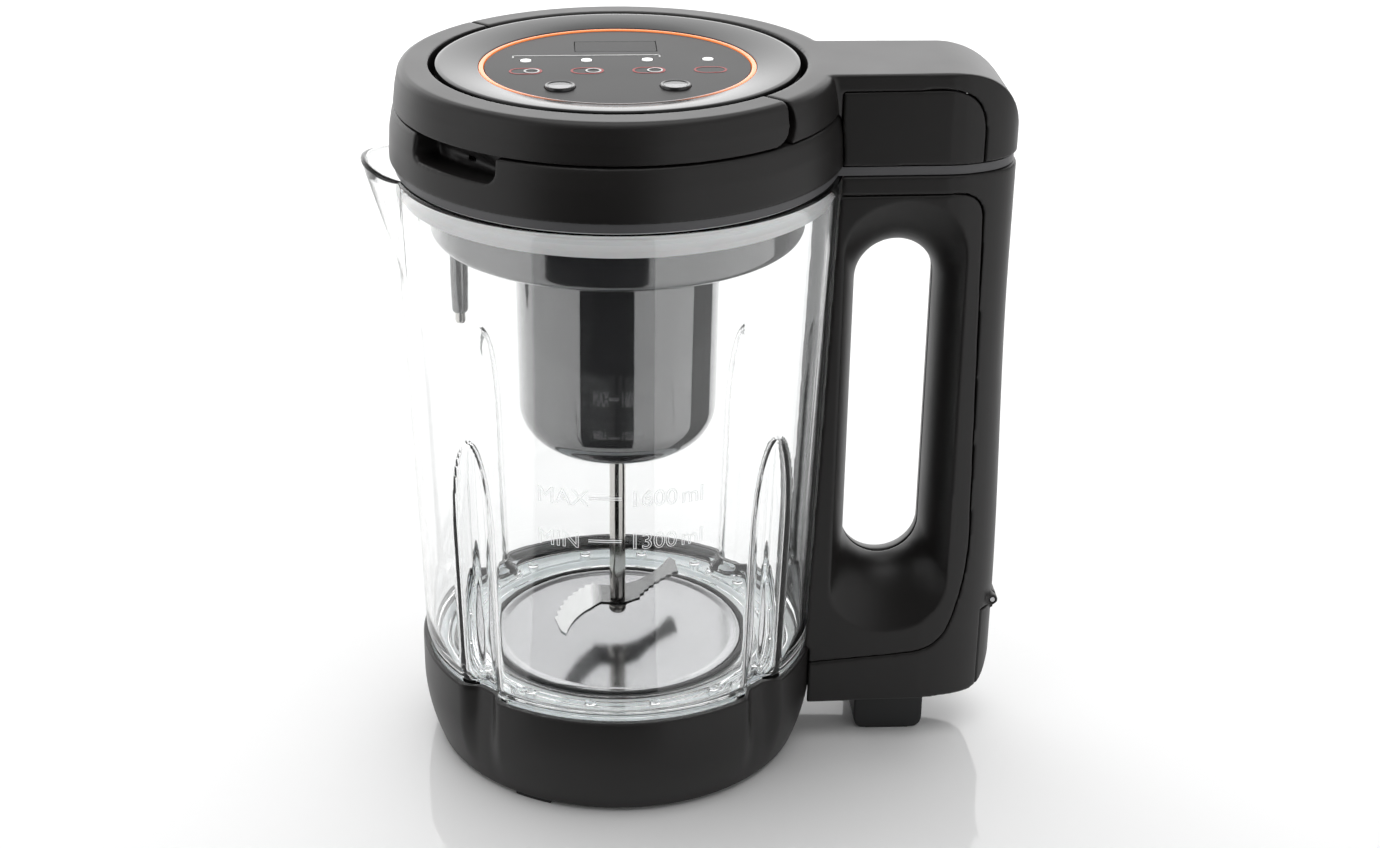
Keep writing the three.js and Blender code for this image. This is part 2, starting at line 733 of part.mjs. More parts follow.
function lidHousingGeometry() {
  const body = turn([
    ...housingOutline(0),
    [bezelRadius, deckTop],
    [bezelRadius, panelTop - 0.3],
    [rimInner, panelTop - 0.3],
    [rimInner, ledgeTop],
    [rimInner - 3.5, ledgeTop],
    [rimInner - 3.5, ledgeTop - 2.2],
    [rimInner, ledgeTop - 2.2],
    [rimInner, deckTop - deckThickness],
    [lidRadius - 2.8, deckTop - deckThickness],
    [lidRadius - partWall, lidBottom + housingBottomThickness],
    [plugPassage, lidBottom + housingBottomThickness],
    [plugPassage, lidBottom],
  ], 40);
  const linerInner = lidRadius - fingerCut.depth - partWall;
  const liner = raise(
    sector(linerInner, lidRadius - 2, fingerCut.from - 3, fingerCut.to + 3),
    fingerCut.bottom - partWall,
    deckTop - 3,
    12,
  );
  const pocket = raise(
    sector(lidRadius - fingerCut.depth, lidRadius + 5, fingerCut.from, fingerCut.to),
    fingerCut.bottom,
    deckTop + 1,
    12,
  );
  const bore = new THREE.CylinderGeometry(pivotRadius + runningGap, pivotRadius + runningGap,
    2 * lidRadius, 20).translate(pivotOffset, 0, pivotHeight);
  return cut(join(body, liner), pocket, radialFrame(bore));
}

place("lid_housing", lidHousingGeometry(), "blackPlastic");

// Bail and fixed ring share one band around the bezel.
const bandSection = (bottom) => [
  [bailInner, bottom],
  [lidRadius - 2.1, bottom],
  [lidTopRadius + 0.7, lidTop - 1.5],
  [lidTopRadius, lidTop],
  [bailInner, lidTop],
];
const bailBottom = lidTop - bailHeight;
const pivotPinLength = 13;

function bailGeometry() {
  const band = turn(bandSection(bailBottom), 40);
  const end = pivotOffset - bailSetback;
  const keep = radialFrame(across(outline([
    [end, bailBottom - 1],
    [end, bailBottom - 1 + 0.01],
    [end, lidTop + 1],
    [lidRadius + 5, lidTop + 1],
    [lidRadius + 5, bailBottom - 1],
  ].filter((_, i) => i !== 1)), -lidRadius - 5, lidRadius + 5));
  const corner = radialFrame(across(cornerCut(end), -lidRadius - 5, lidRadius + 5, 8));
  const pinRoom = [-1, 1].map((side) => {
    const pin = new THREE.CylinderGeometry(pivotRadius + runningGap, pivotRadius + runningGap,
      pivotPinLength, 20);
    return radialFrame(pin.translate(pivotOffset, side * pinMiddle, pivotHeight));
  });
  return cut(common(band, keep), corner, ...pinRoom);
}

const pinMiddle = bezelRadius - rimWall + pivotPinLength / 2;

// The lower corner of each bail end, rounded so that it swings past the deck.
function cornerCut(end) {
  const rounding = 8.5;
  const shape = new THREE.Shape();
  shape.moveTo(end - 1, bailBottom - 1);
  shape.lineTo(end + rounding, bailBottom - 1);
  shape.lineTo(end + rounding, bailBottom);
  shape.quadraticCurveTo(end, bailBottom, end, bailBottom + rounding);
  shape.lineTo(end - 1, bailBottom + rounding);
  return shape;
}

place("carry_bail", bailGeometry(), "blackPlastic");

for (const [name, side] of [["bail_pin_left", -1], ["bail_pin_right", 1]]) {
  const pin = new THREE.CylinderGeometry(pivotRadius, pivotRadius, pivotPinLength - 0.6, 20);
  place(name, radialFrame(pin.translate(pivotOffset, side * pinMiddle, pivotHeight)), "steel");
}

// Bridge over the handle: cover with the fixed rear ring, and two cheeks.
const bridgeBottom = lidBottom + gap;

function bridgeSide(inset) {
  const shape = new THREE.Shape();
  const back = handleReach + 0.6 - inset;
  const top = lidTop - inset;
  shape.moveTo(handleNear, bridgeBottom - 1);
  shape.lineTo(back, bridgeBottom - 1);
  shape.quadraticCurveTo(back - 1, top, handleReach - 29, top);
  shape.lineTo(handleNear, top);
  return shape;
}

function bridgeBody(inset) {
  const mass = common(
    column(inset, bridgeBottom, lidTop + 2, 2),
    across(bridgeSide(inset), -40, 40, 12),
  );
  const outer = housingOutline(gap + inset);
  const lidSpace = turn([
    [0, bridgeBottom - 5],
    [lidRadius + gap + inset, bridgeBottom - 5],
    ...outer,
    [lidTopRadius - 3 + inset, deckTop + gap],
    [lidTopRadius - 3 + inset, lidTop + 5],
    [0, lidTop + 5],
  ], 40);
  return cut(mass, lidSpace);
}

const bridgeShell = cut(bridgeBody(0), bridgeBody(shellWall));

function bridgeZone(clearance) {
  const shape = outline([
    [handleNear, bridgeBottom - 3],
    [cheekReach - 1 - clearance, bridgeBottom - 3],
    [cheekReach - 1 - clearance, lidTop - 5.6 - clearance, 17],
    [handleNear, lidTop - 6.6 - clearance],
  ]);
  return cut(across(shape, -40, 40, 8), disc(lidRadius - 1 + clearance, 0, lidTop + 9, 40));
}

function rearCoverGeometry() {
  const ends = [bailAzimuth + 93, bailAzimuth + 360 - 93];
  const ringPart = common(
    turn(bandSection(deckTop + gap), 40),
    raise(sector(bailInner - 1, lidRadius + 5, ...ends), deckTop, lidTop + 1, 20),
  );
  return cut(join(ringPart, bridgeShell), bridgeZone(0));
}

place("lid_rear_cover", rearCoverGeometry(), "blackPlastic");

for (const [name, side] of [["bridge_cheek_left", -1], ["bridge_cheek_right", 1]]) {
  place(name, common(bridgeShell, bridgeZone(gap), half(side)), "blackPlastic");
}

function trimGeometry() {
  const low = rimHeight + gap;
  const round = ring(plugPassage, lidRadius - 1.8, low, low + trimHeight, 40);
  const arm = cut(
    common(column(1, low - 5, low + trimHeight + 5, 2),
      block(handleNear, -40, low, handleReach - 0.6, 40, low + trimHeight)),
    disc(plugPassage + 3, 0, lidTop, 40),
  );
  const slot = block(tongue.near - 1, -tongue.halfWidth - 1, low - 1,
    tongue.far + 1, tongue.halfWidth + 1, low + trimHeight + 1);
  return cut(join(round, arm), slot);
}

place("lid_trim", trimGeometry(), "greyPlastic");

place("contact_plug", join(
  block(tongue.near, -tongue.halfWidth, tongue.bottom, tongue.far, tongue.halfWidth, lidBottom + 4),
  block(tongue.near - 4, -tongue.halfWidth - 4, lidBottom + 0.1, tongue.far + 4, tongue.halfWidth + 4,
    lidBottom + 4),
), "greyPlastic");

// Lid plug, seal and the motor cup below it.
const plugInner = plugRadius - partWall;
const cupHole = cupRadius + gap;
const cupFlange = cupRadius + 6;
const sensorX = -(plugInner - 7.8);
const sleeveRadius = 3.4;
const sensorRadius = 2;
const sleeveBottom = plugBottom - 32.3;
const probeBottom = sleeveBottom - 4.9;

place("lid_plug", cut(turn([
  [cupHole, plugBottom],
  [plugRadius - 5, plugBottom],
  [plugRadius - 1.4, plugBottom + 1.4],
  [plugRadius, plugBottom + 5],
  [plugRadius, lidBottom + 12],
  [plugInner, lidBottom + 12],
  [plugInner, plugBottom + 5],
  [plugRadius - 5.4, plugBottom + partWall],
  [cupHole, plugBottom + partWall],
], 28), raise(circle(sensorX, 0, sleeveRadius + gap), 0, plugBottom + 4, 8)), "greyPlastic");

const sealBottom = rimHeight - sealHeight - 0.4;
const lipRadius = jugInner - 0.8;
place("lid_seal", turn([
  [plugRadius + gap, sealBottom],
  [lipRadius - 1.5, sealBottom],
  [lipRadius, sealBottom + 1.6],
  [lipRadius, sealBottom + 3.4],
  [lipRadius - 2, sealBottom + 4.6],
  [lipRadius - 2, sealBottom + 6],
  [lipRadius, sealBottom + 7],
  [lipRadius, sealBottom + sealHeight],
  [plugRadius + gap, sealBottom + sealHeight],
], 28), "silicone");

const sealBore = 8;
const cupFloor = 3;
const bearingLow = cupBottom + 5;
const statorLow = cupBottom + 25;

function cupOutline() {
  const points = [[sealBore + gap, cupBottom]];
  const wallTop = plugBottom + partWall + gap;
  for (let angle = -90; angle <= 0; angle += 30) {
    const [x, z] = polar(cupCorner, angle);
    points.push([cupRadius - 0.8 - cupCorner + x, cupBottom + cupCorner + z]);
  }
  points.push([cupRadius, wallTop], [cupFlange, wallTop], [cupFlange, wallTop + 2.2]);
  points.push([cupRadius - partWall, wallTop + 2.2], [cupRadius - partWall, statorLow]);
  points.push([cupRadius - 6, statorLow]);
  for (let angle = 0; angle >= -90; angle -= 30) {
    const [x, z] = polar(cupCorner - cupFloor, angle);
    points.push([cupRadius - 3 - cupCorner + x, cupBottom + cupCorner + z]);
  }
  const hub = bearingRadius + gap;
  points.push([hub + 3, cupBottom + cupFloor], [hub + 3, bearingLow + bearingHeight]);
  points.push([hub, bearingLow + bearingHeight], [hub, bearingLow - gap]);
  points.push([sealBore + gap, bearingLow - gap]);
  return points;
}

place("motor_cup", turn(cupOutline(), 28), "glossBlack");

const bore = shaftRadius + runningGap;
place("shaft_seal", ring(bore, sealBore, cupBottom - 2, cupBottom + 4, 20), "rubber");
place("lower_bearing", ring(bore, bearingRadius, bearingLow, bearingLow + bearingHeight, 20), "steel");

const statorOuter = cupRadius - partWall - gap;
const armatureRadius = 21;
place("stator", ring(armatureRadius + 1.2, statorOuter, statorLow + gap, statorLow + 36, 20), "steel");

const endPlateLow = plugBottom + partWall + 2.2 + 2 * gap;
place("motor_end_plate", turn([
  [bearingRadius + gap, endPlateLow - 4],
  [bearingRadius + 3.2, endPlateLow - 4],
  [bearingRadius + 3.2, endPlateLow],
  [cupFlange, endPlateLow],
  [cupFlange, endPlateLow + 2.8],
  [bearingRadius + gap, endPlateLow + 2.8],
], 20), "greyPlastic");
place("upper_bearing", ring(bore, bearingRadius, endPlateLow - 3.6, endPlateLow + 2.4, 20), "steel");

place("sensor_sleeve", turn([
  [sensorRadius + gap, sleeveBottom],
  [sleeveRadius - 0.7, sleeveBottom],
  [sleeveRadius, plugBottom - 20],
  [sleeveRadius, plugBottom + partWall + gap],
  [sleeveRadius + 1.2, plugBottom + partWall + gap],
  [sleeveRadius + 1.2, plugBottom + partWall + 2],
  [sensorRadius + gap, plugBottom + partWall + 2],
], 16).translate(sensorX, 0, 0), "greyPlastic");
place("sensor_probe", turn([
  [0, probeBottom],
  [sensorRadius - 0.8, probeBottom],
  [sensorRadius, probeBottom + 1],
  [sensorRadius, plugBottom + 6],
  [0, plugBottom + 6],
], 20).translate(sensorX, 0, 0), "steel");

// Rotor: shaft, armature, commutator and fan above, blade and nut below.
const nutBottom = bladeHeight - 5;
const shaftTop = endPlateLow + 3.4;
const armatureLow = statorLow + 2;
const armatureTop = statorLow + 34;
const fanLow = armatureTop + 14;

place("drive_shaft", turn([
  [0, nutBottom + 1],
  [1.8, nutBottom + 1],
  [1.8, bladeHeight + 1.6],
  [shaftRadius, bladeHeight + 1.6],
  [shaftRadius, shaftTop],
  [0, shaftTop],
], 20), "steel");

place("armature", ring(bore, armatureRadius, armatureLow, armatureTop, 20), "copper");
place("commutator", ring(bore, 9.5, armatureTop + gap, armatureTop + 9, 16), "copper");

function fanGeometry() {
  const hub = ring(bore, 7, fanLow, fanLow + 8, 16);
  const web = ring(bore, 30, fanLow, fanLow + 1.4, 20);
  const vanes = Array.from({ length: 9 }, (_, i) =>
    block(6, -0.7, fanLow + 0.5, 29, 0.7, fanLow + 7).rotateZ(toRadians(40 * i)));
  return join(hub, web, ...vanes);
}

place("cooling_fan", fanGeometry(), "greyPlastic");

// The blade's two curved arms sweep back like an S.
function bladeGeometry() {
  const arm = new THREE.Shape();
  arm.moveTo(-5, 0);
  arm.quadraticCurveTo(4, -bladeWidth, bladeReach * 0.68, -bladeWidth * 0.8);
  arm.quadraticCurveTo(bladeReach * 0.93, -bladeWidth * 0.4, bladeReach, bladeWidth * 0.72);
  arm.quadraticCurveTo(bladeReach * 0.7, -1, bladeReach * 0.36, bladeWidth * 0.05);
  arm.quadraticCurveTo(6, bladeWidth * 0.2, 0, 5.4);
  arm.lineTo(-5, 0);
  const low = bladeHeight;
  const arms = [48, 228].map((azimuth) =>
    raise(arm, low, low + 1.2, 6).rotateZ(toRadians(azimuth)));
  const boss = disc(5.2, low, low + 1.2, 16);
  const hole = disc(1.8 + runningGap, low - 1, low + 3, 16);
  return cut(join(boss, ...arms), hole);
}

place("blade", bladeGeometry(), "steel");
place("blade_nut", cut(
  turn([
    [0, nutBottom],
    [2.6, nutBottom],
    [3.6, nutBottom + 1.2],
    [3.6, nutBottom + 3],
    [4.4, bladeHeight - gap],
    [0, bladeHeight - gap],
  ], 16),
  disc(1.8 + runningGap, nutBottom + 1 - gap, bladeHeight + 3, 16),
), "steel");

// Control panel: light ring, lamps, window and two buttons over a circuit board.
const panelLow = panelTop - 4;
const flangeTop = panelTop - 2.4;
const boardTop = panelTop - 9.8;
const switchTop = boardTop + 3.6;
const switchHalf = 3;
const indicatorPitch = (panelRadius * 22) / 48;
const indicatorY = 7.5;
const indicatorSpots = [-1.5, -0.5, 0.5, 1.5].map((step) => step * indicatorPitch);
const buttonSpots = [["mode_button", -21], ["start_button", 19.5]];
const buttonY = -27;
const screen = { left: -15, right: 15, low: 19, high: 33 };
const postSpots = [90, 210, 330].map((azimuth) => polar(panelRadius + 6, azimuth));

function capsule(x, y, length, width) {
  const shape = new THREE.Shape();
  const reach = (length - width) / 2;
  shape.absarc(x + reach, y, width / 2, -Math.PI / 2, Math.PI / 2);
  shape.absarc(x - reach, y, width / 2, Math.PI / 2, 1.5 * Math.PI);
  return shape;
}

const grown = 2 * gap;

function panelGeometry() {
  const face = disc(panelRadius, panelLow, panelTop, 28);
  const flange = ring(panelRadius - 2, rimInner - 0.5, panelLow, flangeTop, 28);
  const posts = postSpots.map(([x, y]) => raise(circle(x, y, 2.5), boardTop + gap, panelLow + 1, 4));
  const lampHoles = indicatorSpots.map((x) =>
    raise(capsule(x, indicatorY, indicatorLength + grown, indicatorWidth + grown), panelLow - 9,
      panelTop + 1, 4));
  const buttonHoles = buttonSpots.map(([, x]) =>
    raise(circle(x, buttonY, buttonRadius + gap), panelLow - 1, panelTop + 1, 8));
  const recess = block(screen.left - gap, screen.low - gap, panelTop - 1.4,
    screen.right + gap, screen.high + gap, panelTop + 1);
  return cut(join(face, flange, ...posts), ...lampHoles, ...buttonHoles, recess);
}

place("control_panel", panelGeometry(), "blackPlastic");
place("display_window", block(screen.left, screen.low, panelTop - 1.1, screen.right, screen.high,
  panelTop), "glossBlack");

indicatorSpots.forEach((x, i) => {
  const lamp = raise(capsule(x, indicatorY, indicatorLength, indicatorWidth), boardTop + gap,
    panelTop + 0.2, 5);
  place(`indicator_light_${i + 1}`, lamp, "lamp");
});

for (const [name, x] of buttonSpots) {
  const shank = turn([
    [0, panelLow - 1.5],
    [buttonRadius + 1.2, panelLow - 1.5],
    [buttonRadius + 1.2, panelLow - gap],
    [buttonRadius, panelLow - gap],
    [buttonRadius, panelTop + 0.5],
    [buttonRadius - 0.5, panelTop + 0.9],
    [buttonRadius - 1, panelTop + 0.6],
    [0, panelTop + 0.6],
  ], 20);
  place(name, shank.translate(x, buttonY, 0), "glossBlack");
}

function boardGeometry() {
  const plate = disc(rimInner - 5, boardTop - 1.6, boardTop, 20);
  const switches = buttonSpots.map(([, x]) => block(x - switchHalf, buttonY - switchHalf, boardTop - 0.5,
    x + switchHalf, buttonY + switchHalf, panelLow - 1.5 - buttonTravel - 0.1));
  const relay = block(-12, 20, boardTop - 14, 14, 36, boardTop - 1);
  return join(plate, ...switches, relay);
}

place("control_board", boardGeometry(), "board");
place("light_ring", ring(panelRadius + gap, panelRadius + gap + lightRingWidth - 2 * gap,
  flangeTop + gap, panelTop + 0.4, 28), "orange");
place("lid_bezel", turn([
  [ringRadius, flangeTop + gap],
  [rimInner - gap, flangeTop + gap],
  [rimInner - gap, panelTop],
  [bezelRadius, panelTop],
  [bezelRadius, lidTop - 0.4],
  [bezelRadius - 0.6, lidTop],
  [ringRadius + 0.4, panelTop + 0.6],
  [ringRadius, panelTop + 0.3],
], 40), "glossBlack");

// The origin goes under the middle of the whole machine, on the table.
const extent = new THREE.Box3().setFromObject(machine);
const middle = extent.getCenter(new THREE.Vector3());
machine.position.set(-middle.x, -middle.y, -extent.min.z);
machine.updateMatrixWorld(true);

export default machine;
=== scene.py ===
import math

import bmesh
import bpy
import numpy as np
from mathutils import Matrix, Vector


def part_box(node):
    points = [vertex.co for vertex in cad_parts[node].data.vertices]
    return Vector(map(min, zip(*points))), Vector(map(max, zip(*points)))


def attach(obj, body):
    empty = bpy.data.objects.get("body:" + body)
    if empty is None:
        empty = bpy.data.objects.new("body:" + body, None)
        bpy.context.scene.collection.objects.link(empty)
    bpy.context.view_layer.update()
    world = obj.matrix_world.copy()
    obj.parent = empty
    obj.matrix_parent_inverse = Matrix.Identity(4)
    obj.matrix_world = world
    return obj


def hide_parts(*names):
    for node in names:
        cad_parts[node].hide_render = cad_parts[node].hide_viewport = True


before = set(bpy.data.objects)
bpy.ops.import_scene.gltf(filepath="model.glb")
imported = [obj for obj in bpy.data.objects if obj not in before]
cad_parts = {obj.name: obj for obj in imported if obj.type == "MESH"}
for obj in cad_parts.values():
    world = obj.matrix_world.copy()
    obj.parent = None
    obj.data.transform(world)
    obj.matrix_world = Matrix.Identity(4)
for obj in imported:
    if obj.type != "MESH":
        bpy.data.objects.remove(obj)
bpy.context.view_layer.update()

# Shapes are drawn in millimetres about the jug's axis, z up from the table.
mm = 0.001
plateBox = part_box("heating_plate")
axisX = (plateBox[0].x + plateBox[1].x) / 2


def corner(node, side):
    return (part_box(node)[side] - Vector((axisX, 0, 0))) / mm


gap = 0.3
rimHeight = corner("lid_trim", 0).z - gap
lidBottom = corner("lid_trim", 1).z + gap
lidTop = corner("lid_bezel", 1).z
lidRadius = corner("lid_housing", 1).y
rimRadius = lidRadius - 0.6
jugShape = {
    "wall": 2.6,
    "grooves": (45, 135, 225, 315),  # degrees round the jug
    "grooveDepth": 4.7, "grooveHalfAngle": 8,
    "archStart": 108, "archHeight": 40,  # where the grooves begin to close, and over how much
    "spoutReach": 11.6, "spoutHalfAngle": 16.5, "spoutStart": 199, "spoutLift": 3,
}
jugInner = rimRadius - jugShape["wall"]
baseHeight = corner("base_shell", 1).z
baseOuter = corner("base_shell", 1).y
jugFootRadius = baseOuter - 1.6
baseLift = corner("base_shell", 0).z
plateRadius = corner("heating_plate", 1).y
jugFloorTop = corner("heating_plate", 1).z
floorBottom = corner("heating_plate", 0).z
handleReach = corner("handle_frame", 1).x - 4.2
handleBottom = corner("handle_frame", 0).z
bailBottom = corner("carry_bail", 0).z
deckTop = bailBottom - 2 * gap
lidTopRadius = lidRadius - 4.9
bailInner = lidTopRadius - 10.2
bezelRadius = corner("lid_bezel", 1).y
ringRadius = bezelRadius - 15.6  # the bezel is 15.6 wide
panelTop = lidTop - 2.4
plugRadius = corner("lid_plug", 1).y
plugBottom = corner("lid_plug", 0).z
cupShape = {"radius": 38.6, "corner": 16, "wall": 2.4}
cupRadius = cupShape["radius"]
cupBottom = corner("motor_cup", 0).z
bladeHeight = corner("blade", 0).z


def smooth(value, low, high):
    share = np.clip((value - low) / (high - low), 0, 1)
    return share * share * (3 - 2 * share)


def rounded(corners, steps=6):
    points = []
    for i, here in enumerate(corners):
        spot = np.array(here[:2], float)
        if len(here) < 3:
            points.append(spot)
            continue
        before = np.array(corners[i - 1][:2], float) - spot
        after = np.array(corners[(i + 1) % len(corners)][:2], float) - spot
        start = spot + before / np.linalg.norm(before) * here[2]
        end = spot + after / np.linalg.norm(after) * here[2]
        for t in np.linspace(0, 1, steps + 1):
            points.append((1 - t) ** 2 * start + 2 * t * (1 - t) * spot + t * t * end)
    return np.array(points)


def bezier(*controls, steps=10):
    controls = np.array(controls, float)
    points = []
    for t in np.linspace(0, 1, steps + 1):
        spots = controls
        while len(spots) > 1:
            spots = spots[:-1] * (1 - t) + spots[1:] * t
        points.append(spots[0])
    return points


def arc(radius, start, end, steps=24, centre=(0, 0)):
    angles = np.radians(np.linspace(start, end, steps + 1))
    return [(centre[0] + radius * math.cos(a), centre[1] + radius * math.sin(a)) for a in angles]


def sector(inner, outer, start, end, steps=24):
    return arc(outer, start, end, steps) + arc(inner, end, start, steps)


def makeMesh(name, points, faces):
    mesh = bpy.data.meshes.new(name)
    mesh.from_pydata([tuple(p) for p in points], [], faces)
    work = bmesh.new()
    work.from_mesh(mesh)
    bmesh.ops.recalc_face_normals(work, faces=work.faces)
    work.to_mesh(mesh)
    work.free()
    made = bpy.data.objects.new(name, mesh)
    bpy.context.scene.collection.objects.link(made)
    return made


def lathe(outline, sides=160, move=None):
    points, rows, faces = [], [], []
    angles = np.linspace(0, 2 * np.pi, sides, endpoint=False)
    for radius, height in outline:
        if radius < 1e-6:
            rows.append([len(points)] * sides)
            points.append((0, 0, height))
        else:
            rows.append(list(range(len(points), len(points) + sides)))
            points += [(radius * math.cos(a), radius * math.sin(a), height) for a in angles]
    for i, row in enumerate(rows):
        other = rows[(i + 1) % len(rows)]
        for k in range(sides):
            n = (k + 1) % sides
            face = list(dict.fromkeys([row[k], row[n], other[n], other[k]]))
            if len(face) > 2:
                faces.append(face)
    points = np.array(points, float)
    return makeMesh("shape", move(points) if move else points, faces)


def prism(outline, low, high, axis="z", steps=1, move=None):
    outline = np.array([p[:2] for p in outline], float)
    count = len(outline)
    points = []
    for level in np.linspace(low, high, steps + 1):
        points.append(np.column_stack([outline, np.full(count, level)]))
    points = np.vstack(points)
    faces = [list(range(count)), list(range(count * steps, count * (steps + 1)))]
    for s in range(steps):
        for k in range(count):
            n = (k + 1) % count
            faces.append([s * count + k, s * count + n, (s + 1) * count + n, (s + 1) * count + k])
    if axis == "y":
        points = points[:, [0, 2, 1]]
    return makeMesh("shape", move(points) if move else points, faces)


def block(x0, y0, z0, x1, y1, z1):
    return prism([(x0, y0), (x1, y0), (x1, y1), (x0, y1)], z0, z1)


def settle(made):
    mesh = bpy.data.meshes.new_from_object(
        made.evaluated_get(bpy.context.evaluated_depsgraph_get())
    )
    old = made.data
    made.modifiers.clear()
    made.data = mesh
    bpy.data.meshes.remove(old)
    return made


# Booleans: the other shapes are used up.
def combine(made, operation, others):
    for other in others:
        modifier = made.modifiers.new("combine", "BOOLEAN")
        modifier.operation = operation
        modifier.object = other
        modifier.solver = "MANIFOLD"
        bpy.context.view_layer.update()
        settle(made)
        bpy.data.objects.remove(other)
    return made


def cut(made, *others):
    return combine(made, "DIFFERENCE", others)


def join(made, *others):
    return combine(made, "UNION", others)


def common(made, *others):
    return combine(made, "INTERSECT", others)


def copyOf(made):
    other = made.copy()
    other.data = made.data.copy()
    bpy.context.scene.collection.objects.link(other)
    return other


def moulded(made, voxel, passes):
    remesh = made.modifiers.new("remesh", "REMESH")
    remesh.mode = "VOXEL"
    remesh.voxel_size = voxel
    soften = made.modifiers.new("soften", "SMOOTH")
    soften.factor = 0.5
    soften.iterations = passes
    bpy.context.view_layer.update()
    return settle(made)


def turned(made, azimuth):
    angle = math.radians(azimuth)
    turn = np.array([[math.cos(angle), -math.sin(angle)], [math.sin(angle), math.cos(angle)]])
    points = readPoints(made.data)
    points[:, :2] = points[:, :2] @ turn.T
    writePoints(made.data, points)
    return made


def readPoints(mesh):
    points = np.zeros(len(mesh.vertices) * 3)
    mesh.vertices.foreach_get("co", points)
    return points.reshape(-1, 3)


def writePoints(mesh, points):
    mesh.vertices.foreach_set("co", points.ravel())
    mesh.update()


def shifted(made, x, y=0):
    points = readPoints(made.data)
    points[:, 0] += x
    points[:, 1] += y
    writePoints(made.data, points)
    return made


def joined(shapes):
    first = shapes[0]
    if len(shapes) > 1:
        with bpy.context.temp_override(active_object=first, selected_editable_objects=shapes):
            bpy.ops.object.join()
    return first


# Turns a finished shape into a piece of the machine, in metres and at its place in the frame.
def piece(made, name, body, material, nodes=(), crease=35):
    made.name = name
    made.data.name = name
    points = readPoints(made.data) * mm
    points[:, 0] += axisX
    writePoints(made.data, points)
    made.data.materials.clear()
    made.data.materials.append(material)
    made.data.shade_smooth()
    if crease < 180:
        made.data.set_sharp_from_angle(angle=math.radians(crease))
    if nodes:
        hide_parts(*nodes)
    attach(made, body)
    print("piece", name, len(made.data.polygons))
    return made


def newMaterial(name):
    material = bpy.data.materials.new(name)
    material.use_nodes = True
    nodes = material.node_tree.nodes
    return material, nodes, material.node_tree.links, nodes["Principled BSDF"]


def newGroup(name, inputs, outputs):
    group = bpy.data.node_groups.new(name, "ShaderNodeTree")
    for label, value in inputs.items():
        kind = "NodeSocketFloat" if isinstance(value, (int, float)) else "NodeSocketColor"
        socket = group.interface.new_socket(label, in_out="INPUT", socket_type=kind)
        socket.default_value = value
    for label, kind in outputs.items():
        group.interface.new_socket(label, in_out="OUTPUT", socket_type=kind)
    start = group.nodes.new("NodeGroupInput")
    end = group.nodes.new("NodeGroupOutput")
    return group, group.nodes, group.links, start, end


def mathNode(nodes, links, operation, first, second):
    node = nodes.new("ShaderNodeMath")
    node.operation = operation
    for socket, value in zip(node.inputs, (first, second)):
        if isinstance(value, (int, float)):
            socket.default_value = value
        else:
            links.new(value, socket)
    return node.outputs[0]


# Fine moulded grain: height for a bump, roughness and a slow change of shade.
def grainGroup():
    group, nodes, links, start, end = newGroup(
        "mouldedGrain",
        {"Scale": 2600.0, "Roughness": 0.42, "Roughness Range": 0.08, "Colour": (0, 0, 0, 1)},
        {"Colour": "NodeSocketColor", "Roughness": "NodeSocketFloat", "Height": "NodeSocketFloat"},
    )
    place = nodes.new("ShaderNodeTexCoord")
    fine = nodes.new("ShaderNodeTexNoise")
    fine.inputs["Detail"].default_value = 3
    links.new(place.outputs["Object"], fine.inputs["Vector"])
    links.new(start.outputs["Scale"], fine.inputs["Scale"])
    slow = nodes.new("ShaderNodeTexNoise")
    slow.inputs["Scale"].default_value = 28
    slow.inputs["Detail"].default_value = 4
    links.new(place.outputs["Object"], slow.inputs["Vector"])
    centred = mathNode(nodes, links, "SUBTRACT", slow.outputs["Fac"], 0.5)
    spread = mathNode(nodes, links, "MULTIPLY", centred, start.outputs["Roughness Range"])
    links.new(
        mathNode(nodes, links, "ADD", spread, start.outputs["Roughness"]),
        end.inputs["Roughness"],
    )
    shade = nodes.new("ShaderNodeMix")
    shade.data_type = "RGBA"
    shade.blend_type = "MULTIPLY"
    shade.inputs["Factor"].default_value = 0.25
    links.new(start.outputs["Colour"], shade.inputs["A"])
    links.new(slow.outputs["Fac"], shade.inputs["B"])
    links.new(shade.outputs["Result"], end.inputs["Colour"])
    links.new(fine.outputs["Fac"], end.inputs["Height"])
    return group


